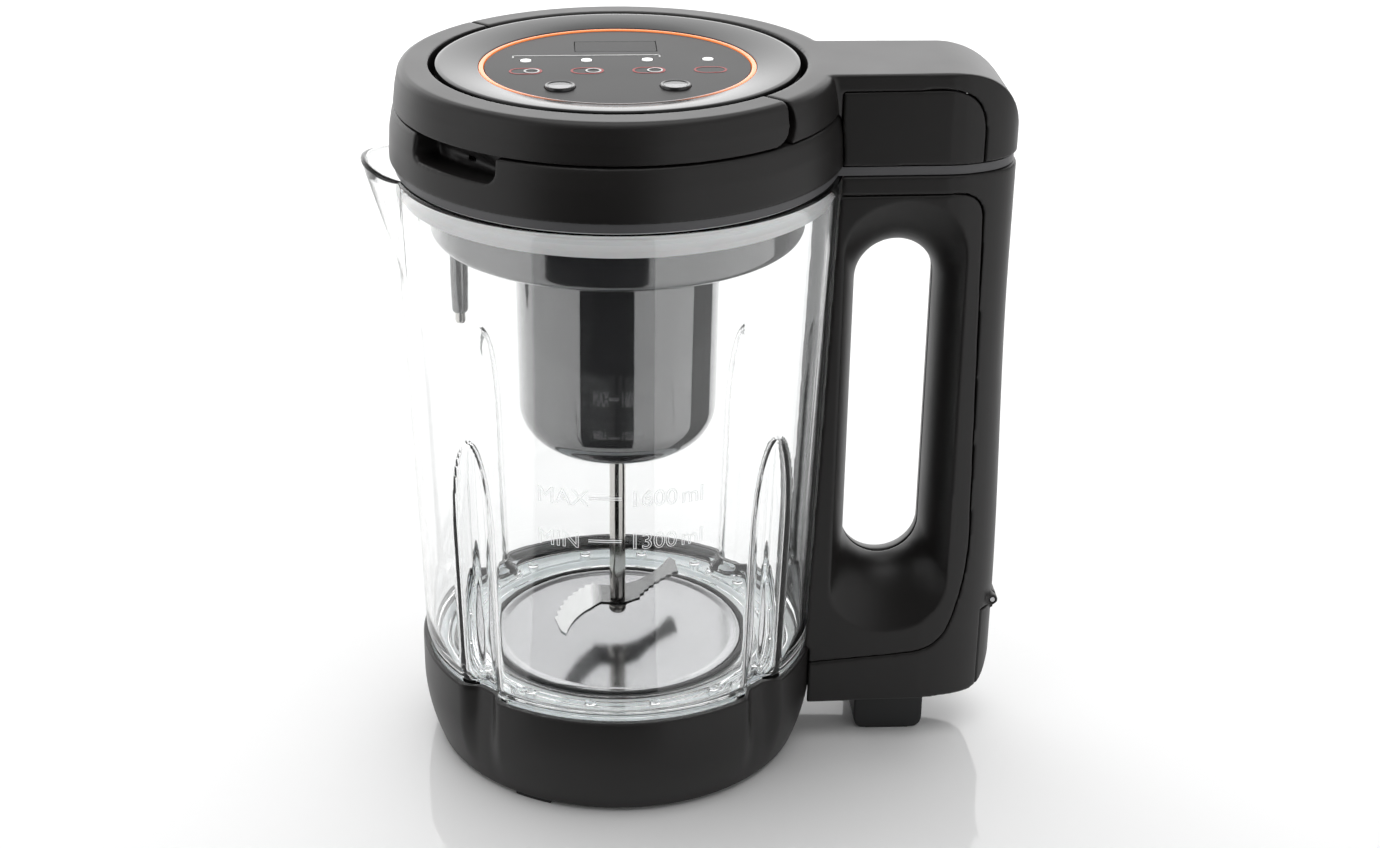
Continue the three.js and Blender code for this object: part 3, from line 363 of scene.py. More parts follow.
# Lines left by brushing or turning, run around the z axis or along x.
def brushedGroup():
    group, nodes, links, start, end = newGroup(
        "brushedMetal",
        {"Roughness": 0.22, "Roughness Range": 0.2, "Along": 40.0, "Across": 5000.0},
        {"Roughness": "NodeSocketFloat", "Height": "NodeSocketFloat"},
    )
    place = nodes.new("ShaderNodeTexCoord")
    stretch = nodes.new("ShaderNodeCombineXYZ")
    links.new(start.outputs["Along"], stretch.inputs["X"])
    links.new(start.outputs["Across"], stretch.inputs["Y"])
    links.new(start.outputs["Along"], stretch.inputs["Z"])
    scaled = nodes.new("ShaderNodeVectorMath")
    scaled.operation = "MULTIPLY"
    links.new(place.outputs["Object"], scaled.inputs[0])
    links.new(stretch.outputs["Vector"], scaled.inputs[1])
    lines = nodes.new("ShaderNodeTexNoise")
    lines.inputs["Scale"].default_value = 1
    lines.inputs["Detail"].default_value = 3
    links.new(scaled.outputs["Vector"], lines.inputs["Vector"])
    centred = mathNode(nodes, links, "SUBTRACT", lines.outputs["Fac"], 0.5)
    spread = mathNode(nodes, links, "MULTIPLY", centred, start.outputs["Roughness Range"])
    links.new(
        mathNode(nodes, links, "ADD", spread, start.outputs["Roughness"]),
        end.inputs["Roughness"],
    )
    links.new(lines.outputs["Fac"], end.inputs["Height"])
    return group


grain = grainGroup()
brushed = brushedGroup()


def bumpFrom(nodes, links, height, shader, strength, distance):
    bump = nodes.new("ShaderNodeBump")
    bump.inputs["Strength"].default_value = strength
    bump.inputs["Distance"].default_value = distance
    links.new(height, bump.inputs["Height"])
    links.new(bump.outputs["Normal"], shader.inputs["Normal"])


def plastic(name, colour, roughness, spread=0.06, scale=2600, bump=0.12, **settings):
    material, nodes, links, shader = newMaterial(name)
    group = nodes.new("ShaderNodeGroup")
    group.node_tree = grain
    group.inputs["Scale"].default_value = scale
    group.inputs["Roughness"].default_value = roughness
    group.inputs["Roughness Range"].default_value = spread
    group.inputs["Colour"].default_value = (*colour, 1)
    links.new(group.outputs["Colour"], shader.inputs["Base Color"])
    links.new(group.outputs["Roughness"], shader.inputs["Roughness"])
    bumpFrom(nodes, links, group.outputs["Height"], shader, bump, 0.00004)
    for label, value in settings.items():
        shader.inputs[label.replace("_", " ")].default_value = value
    return material


def metal(name, colour, roughness, spread=0.15, along=40, across=5000, bump=0.1):
    material, nodes, links, shader = newMaterial(name)
    group = nodes.new("ShaderNodeGroup")
    group.node_tree = brushed
    group.inputs["Roughness"].default_value = roughness
    group.inputs["Roughness Range"].default_value = spread
    group.inputs["Along"].default_value = along
    group.inputs["Across"].default_value = across
    shader.inputs["Base Color"].default_value = (*colour, 1)
    shader.inputs["Metallic"].default_value = 1
    links.new(group.outputs["Roughness"], shader.inputs["Roughness"])
    bumpFrom(nodes, links, group.outputs["Height"], shader, bump, 0.00002)
    return material


satinBlack = plastic("satinBlack", (0.0115, 0.0102, 0.0099), 0.4, spread=0.1, bump=0.25,
                     Specular_IOR_Level=0.4)
panelFilm = plastic("panelFilm", (0.01, 0.0092, 0.0096), 0.3, scale=4000, bump=0.05,
                    Specular_IOR_Level=0.05)
bezelGloss = plastic("bezelGloss", (0.008, 0.008, 0.008), 0.12, scale=300, bump=0.005,
                     Specular_IOR_Level=0.2)
cupGloss = plastic("cupGloss", (0.06, 0.06, 0.063), 0.06, spread=0.03, scale=260, bump=0.005,
                   Specular_IOR_Level=0.8, Coat_Weight=1.0, IOR=2.0, Coat_IOR=1.8)
drumGrey = plastic("drumGrey", (0.055, 0.055, 0.058), 0.12, spread=0.04, scale=500, bump=0.01,
                   Specular_IOR_Level=0.8, Coat_Weight=0.8, IOR=2.0, Coat_IOR=1.8)
# Painted highlight: the level marks' white base colour and emission stand in for light caught by the
# embossed figures' edges; they are no lamp.
paintedMarkHighlight = plastic("paintedMarkHighlight", (0.85, 0.86, 0.87), 0.3, scale=900, bump=0.05, Emission_Strength=0.3,
                    Emission_Color=(1, 1, 1, 1))
trimGrey = plastic("trimGrey", (0.11, 0.11, 0.115), 0.4, scale=2600, bump=0.1)
innerGrey = plastic("innerGrey", (0.12, 0.12, 0.125), 0.45, scale=1800)
displayGlass = plastic("displayGlass", (0.009, 0.0085, 0.009), 0.25, scale=200, bump=0.005,
                       Specular_IOR_Level=0.03)
buttonGloss = plastic("buttonGloss", (0.03, 0.03, 0.031), 0.2, scale=2000, bump=0.05)
rubberBlack = plastic("rubberBlack", (0.02, 0.02, 0.021), 0.6, scale=1400, bump=0.4)
# Painted glow: the seal's emission brightens it though it is no lamp; its milky white base colour is the
# silicone's own.
sealSilicone = plastic(
    "sealSilicone", (0.78, 0.79, 0.795), 0.45, scale=900, bump=0.1, Subsurface_Weight=0.25,
    Subsurface_Scale=0.004, Emission_Strength=0.22, Emission_Color=(1, 1, 1, 1),
)
lampLens = plastic(
    "lampLens", (0.85, 0.85, 0.84), 0.25, scale=600, bump=0.02, Emission_Strength=0.6,
    Emission_Color=(1, 1, 1, 1),
)
inkWhite = plastic("inkWhite", (0.8, 0.8, 0.79), 0.5, scale=3000, bump=0.05)
inkRed = plastic("inkRed", (0.42, 0.018, 0.018), 0.5, scale=3000, bump=0.05)
# Painted highlight: the light half-discs on the buttons stand in for the reflection on each glossy cap's
# lower half.
buttonPaintedHighlight = plastic("buttonPaintedHighlight", (0.5, 0.5, 0.51), 0.4, scale=3000, bump=0.05)
boardGreen = plastic("boardGreen", (0.014, 0.1, 0.045), 0.45, scale=900, bump=0.3)
plateSteel = metal("plateSteel", (0.28, 0.28, 0.285), 0.15, spread=0.06, across=3500, along=25, bump=0.05)
shaftSteel = metal("shaftSteel", (0.72, 0.7, 0.67), 0.1, spread=0.05, along=3500, across=3500, bump=0.03)
bladeSteel = metal("bladeSteel", (0.42, 0.42, 0.425), 0.24, spread=0.1)
partSteel = metal("partSteel", (0.6, 0.6, 0.61), 0.35)
windingCopper = metal("windingCopper", (0.72, 0.32, 0.13), 0.35, across=2500)


# Painted reflection: the blade's bent arm gets a lighter base colour than its flat arm, standing in for
# the brighter light the bent arm reflects.
def paintBentArmReflection():
    nodes, links = bladeSteel.node_tree.nodes, bladeSteel.node_tree.links
    place = nodes.new("ShaderNodeTexCoord")
    apart = nodes.new("ShaderNodeSeparateXYZ")
    links.new(place.outputs["Object"], apart.inputs["Vector"])
    paintedReflection = nodes.new("ShaderNodeMapRange")
    for label, value in (("From Min", axisX - 0.011), ("From Max", axisX - 0.006),
                         ("To Min", 0.5), ("To Max", 0.15)):
        paintedReflection.inputs[label].default_value = value
    links.new(apart.outputs["X"], paintedReflection.inputs["Value"])
    links.new(paintedReflection.outputs["Result"], nodes["Principled BSDF"].inputs["Base Color"])


paintBentArmReflection()


def clearMaterial():
    material, nodes, links, shader = newMaterial("clearJug")
    group = nodes.new("ShaderNodeGroup")
    group.node_tree = grain
    group.inputs["Scale"].default_value = 60
    group.inputs["Roughness"].default_value = 0.012
    group.inputs["Roughness Range"].default_value = 0.015
    group.inputs["Colour"].default_value = (1, 1, 1, 1)
    links.new(group.outputs["Roughness"], shader.inputs["Roughness"])
    bumpFrom(nodes, links, group.outputs["Height"], shader, 0.05, 0.0004)
    shader.inputs["Base Color"].default_value = (0.985, 0.99, 0.99, 1)
    shader.inputs["IOR"].default_value = 1.5
    shader.inputs["Transmission Weight"].default_value = 1
    path = nodes.new("ShaderNodeLightPath")
    clear = nodes.new("ShaderNodeBsdfTransparent")
    clear.inputs["Color"].default_value = (0.93, 0.94, 0.94, 1)
    mix = nodes.new("ShaderNodeMixShader")
    links.new(path.outputs["Is Shadow Ray"], mix.inputs["Fac"])
    links.new(shader.outputs["BSDF"], mix.inputs[1])
    links.new(clear.outputs["BSDF"], mix.inputs[2])
    links.new(mix.outputs["Shader"], nodes["Material Output"].inputs["Surface"])
    return material


clearJug = clearMaterial()


# The ring glows orange and fades to dark at the front.
def ringMaterial():
    material, nodes, links, shader = newMaterial("lightRing")
    place = nodes.new("ShaderNodeTexCoord")
    apart = nodes.new("ShaderNodeSeparateXYZ")
    links.new(place.outputs["Object"], apart.inputs["Vector"])
    sideways = mathNode(nodes, links, "SUBTRACT", apart.outputs["X"], axisX)
    angle = mathNode(nodes, links, "ARCTAN2", sideways, apart.outputs["Y"])
    turn = mathNode(nodes, links, "DIVIDE", mathNode(nodes, links, "ABSOLUTE", angle, 0), math.pi)
    ramp = nodes.new("ShaderNodeValToRGB")
    links.new(turn, ramp.inputs["Fac"])
    stops = ramp.color_ramp.elements
    stops[0].position = 0.66
    stops[0].color = (1.0, 0.25, 0.06, 1)
    stops[1].position = 0.88
    stops[1].color = (0.02, 0.006, 0.003, 1)
    group = nodes.new("ShaderNodeGroup")
    group.node_tree = grain
    group.inputs["Scale"].default_value = 500
    group.inputs["Roughness"].default_value = 0.25
    links.new(ramp.outputs["Color"], group.inputs["Colour"])
    links.new(group.outputs["Colour"], shader.inputs["Base Color"])
    links.new(group.outputs["Roughness"], shader.inputs["Roughness"])
    links.new(ramp.outputs["Color"], shader.inputs["Emission Color"])
    shader.inputs["Emission Strength"].default_value = 0.6
    return material


lightRing = ringMaterial()

def grooveAt(azimuth, z):
    away = np.min([abs((azimuth - m + 540) % 360 - 180) for m in jugShape["grooves"]], axis=0)
    above = np.maximum(z - jugShape["archStart"], 0)
    arch = np.sqrt(np.clip(1 - (above / jugShape["archHeight"]) ** 2, 0, 1))
    half = np.maximum(jugShape["grooveHalfAngle"] * arch, 0.01)
    flank = smooth(1 - away / half, 0, 0.72)
    return jugShape["grooveDepth"] * flank * smooth(z, baseLift, baseHeight) * arch ** 0.5


def spoutAt(azimuth, z):
    away = abs((azimuth - 180 + 540) % 360 - 180)
    side = np.cos(np.pi / 2 * np.minimum(away / jugShape["spoutHalfAngle"], 1))
    start = jugShape["spoutStart"]
    return jugShape["spoutReach"] * side * np.maximum(0, z - start) / (rimHeight - start)


def shapeWall(points):
    x, y, z = points.T
    radius = np.hypot(x, y)
    azimuth = np.degrees(np.arctan2(y, x)) + 360
    share = smooth(radius, plateRadius + 6, jugFootRadius - 6)
    spout = spoutAt(azimuth, z)
    reach = radius + share * (spout - grooveAt(azimuth, z))
    scale = reach / np.maximum(radius, 1e-6)
    lift = share * jugShape["spoutLift"] * (spout / jugShape["spoutReach"]) ** 2
    return np.column_stack([x * scale, y * scale, z + lift])


def jugRadiusAt(z):
    return jugFootRadius + (rimRadius - jugFootRadius) * (z - baseHeight) / (rimHeight - baseHeight)


def jugOutline():
    neck = jugFootRadius - 1.3
    hole = plateRadius + 2.6
    outer, inner = [], []
    levels = [48, 56, 70, 90, 100, *np.linspace(107, 151, 34), 165, 180, 195, jugShape["spoutStart"],
              *np.linspace(203, rimHeight - 1.4, 9)]  # closest where the grooves close
    for z in levels:
        outer.append((jugRadiusAt(z), z))
        inner.append((jugRadiusAt(z) - jugShape["wall"], z))
    half = jugShape["wall"] / 2
    lip = arc(half, 0, 180, 8, centre=(rimRadius - half, rimHeight - half))
    inside = jugFootRadius - jugShape["wall"]
    ridges = []
    for start in np.arange(hole + 2, neck - 4, 3.4):
        ridges += [(start, floorBottom), (start + 1.3, floorBottom + 1.3), (start + 2.2, floorBottom)]
    return [
        (hole, floorBottom), *ridges, (neck - 0.8, floorBottom), (neck, floorBottom + 0.8),
        (neck, baseHeight - 0.4), (neck + 0.6, baseHeight + 0.1), (jugFootRadius, baseHeight + 0.8),
        *outer, *lip, *inner[::-1],
        (inside, jugFloorTop + 7), (inside - 0.7, jugFloorTop + 4.4),
        (inside - 2.4, jugFloorTop + 3), (inside - 6, jugFloorTop + 2.6),
        (inside - 6.6, jugFloorTop + 2.1), (inside - 6.8, jugFloorTop + 1.2),
        (inside - 7.4, jugFloorTop + 0.8), (hole + 6, jugFloorTop + 0.5),
        (hole + 5.2, jugFloorTop + 0.9), (hole + 3.4, jugFloorTop + 0.9),
        (hole + 2.6, jugFloorTop + 0.3), (hole + 0.5, jugFloorTop), (hole, jugFloorTop - 0.5),
    ]


print("jug and base")
jug = lathe(jugOutline(), 480, shapeWall)
piece(jug, "jugShell", "jug_and_base", clearJug, ["jug"], crease=50)

# Small round bosses stand on the clear floor around the plate.
bossRing = {"count": 16, "radius": 62}
bosses = []
for azimuth in np.arange(180 / bossRing["count"], 360, 360 / bossRing["count"]):
    boss = shifted(lathe([(0, jugFloorTop + 0.7), (1.5, jugFloorTop + 0.7), (2.3, jugFloorTop + 1.2),
                          (2.1, jugFloorTop + 1.9), (1.4, jugFloorTop + 2), (0.9, jugFloorTop + 1.5),
                          (0, jugFloorTop + 1.4)], 24), bossRing["radius"])
    bosses.append(turned(boss, azimuth))
piece(joined(bosses), "jugFloorBosses", "jug_and_base", clearJug)


# Level marks: thin raised lines that follow the edges of each figure, white and faintly glowing as a
# painted highlight of the light the embossed edges catch.
def lineArt(text, height, thickness):
    curve = bpy.data.curves.new("figures", "FONT")
    curve.body = text
    curve.size = height / 0.7
    curve.fill_mode = "NONE"
    curve.bevel_depth = thickness
    curve.bevel_resolution = 1
    writing = bpy.data.objects.new("figures", curve)
    bpy.context.scene.collection.objects.link(writing)
    bpy.context.view_layer.update()
    mesh = bpy.data.meshes.new_from_object(
        writing.evaluated_get(bpy.context.evaluated_depsgraph_get())
    )
    bpy.data.objects.remove(writing)
    made = bpy.data.objects.new("figures", mesh)
    bpy.context.scene.collection.objects.link(made)
    return made


def onWall(made, x, z):
    points = readPoints(made.data)
    height = points[:, 1] + z
    radius = jugRadiusAt(height) + points[:, 2]
    angle = -np.pi / 2 + (points[:, 0] + x) / radius
    writePoints(made.data, np.column_stack([radius * np.cos(angle), radius * np.sin(angle), height]))
    return made


levelMark = {
    "levels": (("1600", "MAX", 136.6), ("1300", "MIN", 119.4)),
    "height": 6.2, "thickness": 0.13,
    "wordX": -32, "figuresX": 1.5, "unitX": 20.5,
    "lineStart": -13, "lineEnd": -1, "lineOffsets": (-0.4, 0.4), "lineHalfWidth": 0.12,
}
marks = []
for figures, word, z in levelMark["levels"]:
    for text, x in ((word, levelMark["wordX"]), (figures, levelMark["figuresX"]),
                    ("ml", levelMark["unitX"])):
        writing = lineArt(text, levelMark["height"], levelMark["thickness"])
        marks.append(onWall(writing, x, z - levelMark["height"] / 2))
    lineSpots = np.linspace(levelMark["lineStart"], levelMark["lineEnd"], 12)
    for offset in levelMark["lineOffsets"]:
        low, high = offset - levelMark["lineHalfWidth"], offset + levelMark["lineHalfWidth"]
        line = prism([(x, low) for x in lineSpots] + [(x, high) for x in lineSpots[::-1]], -0.05, 0.15)
        marks.append(onWall(line, 0, z))
piece(joined(marks), "levelMarks", "jug_and_base", paintedMarkHighlight)

# A pale seal lies between the clear floor and the base.
seat = lathe([(plateRadius + 4, floorBottom - 0.24), (jugFootRadius - 3, floorBottom - 0.24),
              (jugFootRadius - 3, floorBottom - 0.06), (plateRadius + 4, floorBottom - 0.06)], 128)
piece(seat, "floorSeal", "jug_and_base", sealSilicone)

baseShape = {"flare": 5.4, "flareTop": 28, "wall": 2.4}
baseFoot = baseOuter - baseShape["flare"]
shelf = floorBottom - gap
baseShell = lathe([
    (baseFoot - baseShape["wall"], baseLift), (baseFoot - 0.4, baseLift), (baseFoot, baseLift + 0.4),
    *[(baseOuter - baseShape["flare"] * (1 - s) ** 1.9,
       baseLift + 0.4 + s * (baseShape["flareTop"] - baseLift)) for s in np.linspace(0.04, 1, 12)],
    *[(baseOuter, z) for z in (31, 34, 37, 40)],
    (baseOuter, baseHeight - 0.6), (baseOuter - 0.5, baseHeight),
    (baseOuter - baseShape["wall"], baseHeight),
    (baseOuter - 2.5, shelf), (jugFootRadius - 7.2, shelf), (jugFootRadius - 7.2, shelf - 2.4),
    (baseOuter - 2.7, shelf - 2.4), (baseOuter - 3.2, 28), (baseOuter - 5.4, 12),
], 480, shapeWall)
piece(baseShell, "baseShell", "jug_and_base", satinBlack, ["base_shell"])

plate = lathe([
    (0, jugFloorTop - 1.6), (plateRadius - 1.6, jugFloorTop - 1.6), (plateRadius - 1.6, floorBottom),
    (plateRadius, floorBottom), (plateRadius, jugFloorTop - 0.5),
    (plateRadius - 0.5, jugFloorTop), (plateRadius - 3, jugFloorTop),
    (plateRadius - 3.4, jugFloorTop - 0.25), (plateRadius - 4.4, jugFloorTop - 0.3),
    (30, jugFloorTop - 0.3), (0, jugFloorTop - 0.3),
], 192)
piece(plate, "heatingPlate", "jug_and_base", plateSteel, ["heating_plate"])

gasket = lathe([
    (plateRadius + gap, floorBottom), (plateRadius + 2.3, floorBottom),
    (plateRadius + 2.3, jugFloorTop + 0.1), (plateRadius + 1.8, jugFloorTop + 0.3),
    (plateRadius + 0.8, jugFloorTop + 0.3), (plateRadius + gap, jugFloorTop),
], 192)
piece(gasket, "plateGasket", "jug_and_base", rubberBlack, ["plate_gasket"])


handleShape = {
    "halfWidth": 24, "wall": 2.8,
    "lean": 3.2, "leanStart": 118.5,  # the spine leans out towards the bottom
    "cheekReach": 132.5, "coverTop": 53.5, "coverHalfWidth": 15,
    "holeX": 103.5, "holeRadius": 15, "holeBottom": 88, "holeTop": 191,
    "barrelRadius": 2.2, "pinBore": 1.2,
}
wall = handleShape["wall"]
cheekReach = handleShape["cheekReach"]
coverTop = handleShape["coverTop"]


def plan(inset):
    half = handleShape["halfWidth"] - inset
    reach = handleReach + handleShape["lean"] - inset
    near = jugFootRadius - 20
    side = bezier(
        (handleReach - 25, -half + 1), (reach - 10, -half + 2), (reach, -half * 0.55), (reach, 0),
        steps=20,
    )
    front = [(near, -half), (handleShape["leanStart"], -half + 0.7), *[tuple(p) for p in side]]
    return front + [(x, -y) for x, y in front[::-1][1:]]


def column(inset, bottom, top, steps):
    def lean(points):
        x, y, z = points.T
        out = handleShape["lean"] * (1 - smooth(z, coverTop, rimHeight - 40))
        share = smooth(x, handleShape["leanStart"], handleReach - 12)
        return np.column_stack([x - share * (handleShape["lean"] - out), y, z])

    return prism(plan(inset), bottom, top, steps=steps, move=lean)


def across(outline, low, high, steps=1, move=None):
    return prism(outline, low, high, axis="y", steps=steps, move=move)


handleFar = handleReach + 13.2
handleNear = jugFootRadius - 22


def jugEnvelope(clearance):
    outer = jugFootRadius + 1.6 + clearance
    return lathe([
        (0, 0), (outer, 0), (outer, baseHeight), (jugFootRadius + clearance, baseHeight + gap),
        (rimRadius + clearance, rimHeight), (rimRadius + clearance, lidTop), (0, lidTop),
    ], 160)


def handleBody(inset):
    side = across(rounded([
        (handleNear, handleBottom + inset),
        (handleReach - 2 - inset, handleBottom + 2 + inset, 6),
        (handleReach + 6 - inset, handleBottom + 22, 3),
        (handleFar, coverTop),
        (handleFar, rimHeight - inset),
        (handleNear, rimHeight - inset),
    ]), -40, 40)
    body = common(column(inset, handleBottom - 4, rimHeight + 4, 30), side)
    return cut(body, jugEnvelope(gap + inset))


def cheekZone(clearance):
    return across(rounded([
        (handleNear - 1, 33.5 + clearance),
        (cheekReach - 6, 40 + clearance, 13),
        (cheekReach + 4 - clearance, 72.5, 18),
        (cheekReach - clearance, rimHeight - 6.8 - clearance, 11),
        (handleNear - 1, rimHeight - 7.4 - clearance),
    ], 12), -40, 40)


def fingerHole(outset):
    r, holeX = handleShape["holeRadius"] + outset, handleShape["holeX"]
    middle = (handleShape["holeTop"] + handleShape["holeBottom"]) / 2
    outline = arc(r, 0, 180, 24, centre=(holeX, handleShape["holeTop"]))
    outline += arc(r, 180, 360, 24, centre=(holeX, handleShape["holeBottom"]))

    def flare(points):
        x, y, z = points.T
        out = (np.abs(y) / handleShape["halfWidth"]) ** 2.4
        wide = holeX + (x - holeX) * (1 + 0.6 * out) + 2.2 * out
        tall = middle + (z - middle) * (1 + 0.36 * out) - 1.6 * out
        return np.column_stack([wide, y, tall])

    return across(outline, -25, 25, 40, flare)


def barrel(radius, low, high):
    return across(arc(radius, 0, 354, 23, centre=(barrelX, barrelZ)), low, high)


barrelX = handleReach + 1.8
barrelZ = 56


def coverZone(clearance):
    half = handleShape["coverHalfWidth"] + clearance
    zone = block(handleReach - 22, -half, handleBottom - 3, handleFar, half, coverTop + clearance)
    return cut(zone, column(3 + clearance, 0, barrelZ + 10, 20))


def halfSpace(side):
    low, high = (gap / 2, 60) if side > 0 else (-60, -gap / 2)
    return block(0, low, 0, 300, high, 600)


print("handle")
backing = cut(block(handleReach - 12, -19, handleBottom, handleFar, 19, barrelZ + 6),
              handleBody(3 + gap + wall))
hollow = cut(handleBody(wall), backing)
shell = cut(handleBody(0), copyOf(hollow), cheekZone(0), coverZone(gap))
earHalf = handleShape["barrelRadius"]
ears = [join(barrel(earHalf, low, high),
             block(barrelX - 6, low, barrelZ - earHalf, barrelX, high, barrelZ + earHalf))
        for low, high in ((-12, -8.3), (8.3, 12))]
handleFrame = cut(
    join(shell, *ears),
    block(101, -7, rimHeight - 8, 120, 7, rimHeight + 1),
    block(121, -12.3, 20.1, handleFar, 12.3, 37.9),
    block(jugFootRadius - 10, -8, 22, jugFootRadius + 12, 8, 32),
    join(barrel(2.5, -8.3, 8.3), block(barrelX - 1.5, -8.3, 52.5, handleFar, 8.3, barrelZ)),
    block(94.7, -13.3, handleBottom - 2, 122.8, 13.3, handleBottom + 6),
    barrel(handleShape["pinBore"], -13, 13),
)
moulded(handleFrame, 0.7, 4)
piece(handleFrame, "handleFrame", "jug_and_base", satinBlack, ["handle_frame"], 180)

inner = cut(hollow, fingerHole(2.4))
for name, side in (("left", -1), ("right", 1)):
    cheek = common(handleBody(0), cheekZone(gap), halfSpace(side))
    cheek = cut(cheek, copyOf(inner), fingerHole(0))
    moulded(cheek, 0.6, 5)
    piece(cheek, "handleCheek_" + name, "jug_and_base", satinBlack,
          ["handle_cheek_" + name], 180)
bpy.data.objects.remove(inner)

cover = cut(common(handleBody(0), coverZone(0)), handleBody(3))
cover = cut(
    join(cover, block(barrelX - 1.2, -8, 50.5, barrelX + 1.2, 8, barrelZ), barrel(earHalf, -8, 8)),
    barrel(handleShape["pinBore"], -12, 12),
)
moulded(cover, 0.4, 4)
cover = cut(cover, barrel(handleShape["pinBore"] + 0.05, -12, 12))  # moulding narrowed the bore
piece(cover, "inletCover", "inlet_flap", satinBlack, ["inlet_cover"], 180)

footShape = {"near": 95, "far": 122.5, "halfWidth": 16, "tongueHalfWidth": 13, "corner": 5}
near, far, footCorner = footShape["near"], footShape["far"], footShape["corner"]
foot = join(
    across(rounded([(near, 0, footCorner), (far, 0, footCorner), (far, handleBottom - gap),
                    (near, handleBottom - gap)]), -footShape["halfWidth"], footShape["halfWidth"]),
    block(near, -footShape["tongueHalfWidth"], handleBottom - 4,
          far, footShape["tongueHalfWidth"], handleBottom + 3.6),
)
moulded(foot, 0.6, 4)
piece(foot, "handleFoot", "jug_and_base", rubberBlack, ["handle_foot"], 180)


def housingSide(overlap):
    return [
        (lidRadius + overlap, lidBottom), (lidRadius + overlap, lidBottom + 2.2),
        (lidRadius - 0.5 + overlap, lidBottom + 11.5), (lidRadius - 1.6 + overlap, lidBottom + 17.5),
        (lidRadius - 2.2 + overlap, deckTop + overlap),
    ]


print("lid")
rimInner = bezelRadius - 2.5
housing = lathe([
    *housingSide(0), (bezelRadius, deckTop), (bezelRadius, panelTop - 0.3),
    (rimInner, panelTop - 0.3), (rimInner, panelTop - 4.3), (rimInner - 3.5, panelTop - 4.3),
    (rimInner - 3.5, panelTop - 6.5), (rimInner, panelTop - 6.5), (rimInner, deckTop - 5.5),
    (lidRadius - 2.8, deckTop - 5.5), (lidRadius - 2.4, lidBottom + 2.5),
    (plugRadius + gap, lidBottom + 2.5), (plugRadius + gap, lidBottom),
], 240)
pocketShape = {"azimuth": -136.5, "halfAngle": 14.5, "linerHalfAngle": 17.5, "depth": 11, "corner": 4}
liner = prism(
    sector(lidRadius - pocketShape["depth"] - 2.4, lidRadius - 2,
           pocketShape["azimuth"] - pocketShape["linerHalfAngle"],
           pocketShape["azimuth"] + pocketShape["linerHalfAngle"]),
    lidBottom + 7.6, deckTop - 3,
)


def aroundLid(points):
    s, r, z = points.T
    angle = np.radians(pocketShape["azimuth"]) + s / lidRadius
    return np.column_stack([r * np.cos(angle), r * np.sin(angle), z])


reach = math.radians(pocketShape["halfAngle"]) * lidRadius
pocketLow, pocketHigh = lidBottom + 10, deckTop + 1
bend = pocketShape["corner"]
pocket = across([
    *[(s, pocketHigh) for s in np.linspace(reach, -reach, 24)],
    *arc(bend, 180, 270, 8, centre=(bend - reach, pocketLow + bend)),
    *[(s, pocketLow) for s in np.linspace(bend + 1 - reach, reach - bend - 1, 20)],
    *arc(bend, 270, 360, 8, centre=(reach - bend, pocketLow + bend)),
], lidRadius - pocketShape["depth"], lidRadius + 5, move=aroundLid)
bailShape = {"pivotSetback": 7.1, "pinRoom": 2.6, "azimuth": -135, "corner": 8.5, "swingRadius": 10.5}
pivotZ = lidTop - bailShape["pivotSetback"]
pivotCentre = (bailShape["pivotSetback"], pivotZ)


# A shape drawn across the lid is turned to face the way the bail faces.
def alongBail(outline, low=-90, high=90):
    return turned(across(outline, low, high), bailShape["azimuth"])


def pinRoom(low, high):
    return alongBail(arc(bailShape["pinRoom"], 0, 345, 23, centre=pivotCentre), low, high)


pivotBore = pinRoom(-90, 90)
housing = cut(join(housing, liner), pocket, pivotBore)
moulded(housing, 0.65, 3)
piece(housing, "lidHousing", "lid", satinBlack, ["lid_housing"], 180)


def band(bottom):
    return lathe([
        (bailInner, bottom), (lidRadius - 2.1, bottom), (lidRadius - 2.9, bottom + 7),
        (lidTopRadius + 0.9, lidTop - 1.9), (lidTopRadius, lidTop - 0.6), (lidTopRadius - 1.4, lidTop),
        (bailInner, lidTop),
    ], 240)


keep = alongBail([(0, bailBottom - 1), (0, lidTop + 1), (lidRadius + 5, lidTop + 1),
                  (lidRadius + 5, bailBottom - 1)])
bend = bailShape["corner"]
lowCorner = alongBail([
    (-1, bailBottom - 1), (bend, bailBottom - 1), (bend, bailBottom),
    *[tuple(p) for p in bezier((bend, bailBottom), (0, bailBottom), (0, bailBottom + bend))],
    (-1, bailBottom + bend),
])
pinRooms = [pinRoom(low, low + 13) for low in (rimInner, -rimInner - 13)]
bail = cut(common(band(bailBottom), keep), lowCorner, *pinRooms)
moulded(bail, 0.45, 5)
piece(bail, "carryBail", "bail", satinBlack, ["carry_bail"], 180)

bridgeLow = lidBottom + gap


def bridgeBody(inset):
    back = handleReach + 0.6 - inset
    top = lidTop - inset
    side = [(handleNear, bridgeLow - 1), (back, bridgeLow - 1),
            *[tuple(p) for p in bezier((back, bridgeLow - 1), (back - 1, top), (handleReach - 29, top),
                                       steps=24)][1:],
            (handleNear, top)]
    mass = common(column(inset, bridgeLow, lidTop + 2, 10), across(side, -40, 40))
    space = lathe([
        (0, bridgeLow - 5), (lidRadius + gap + inset, bridgeLow - 5), *housingSide(gap + inset),
        (lidTopRadius - 3 + inset, deckTop + gap), (lidTopRadius - 3 + inset, lidTop + 5),
        (0, lidTop + 5),
    ], 240)
    return cut(mass, space)


bridgeShell = cut(bridgeBody(0), bridgeBody(wall))


def bridgeZone(clearance):
    zone = across(rounded([
        (handleNear, bridgeLow - 3), (cheekReach - 1 - clearance, bridgeLow - 3),
        (cheekReach - 1 - clearance, lidTop - 5.6 - clearance, 17),
        (handleNear, lidTop - 6.6 - clearance),
    ], 12), -40, 40)
    return cut(zone, prism(arc(lidRadius - 1 + clearance, 0, 358, 179), 0, lidTop + 9))


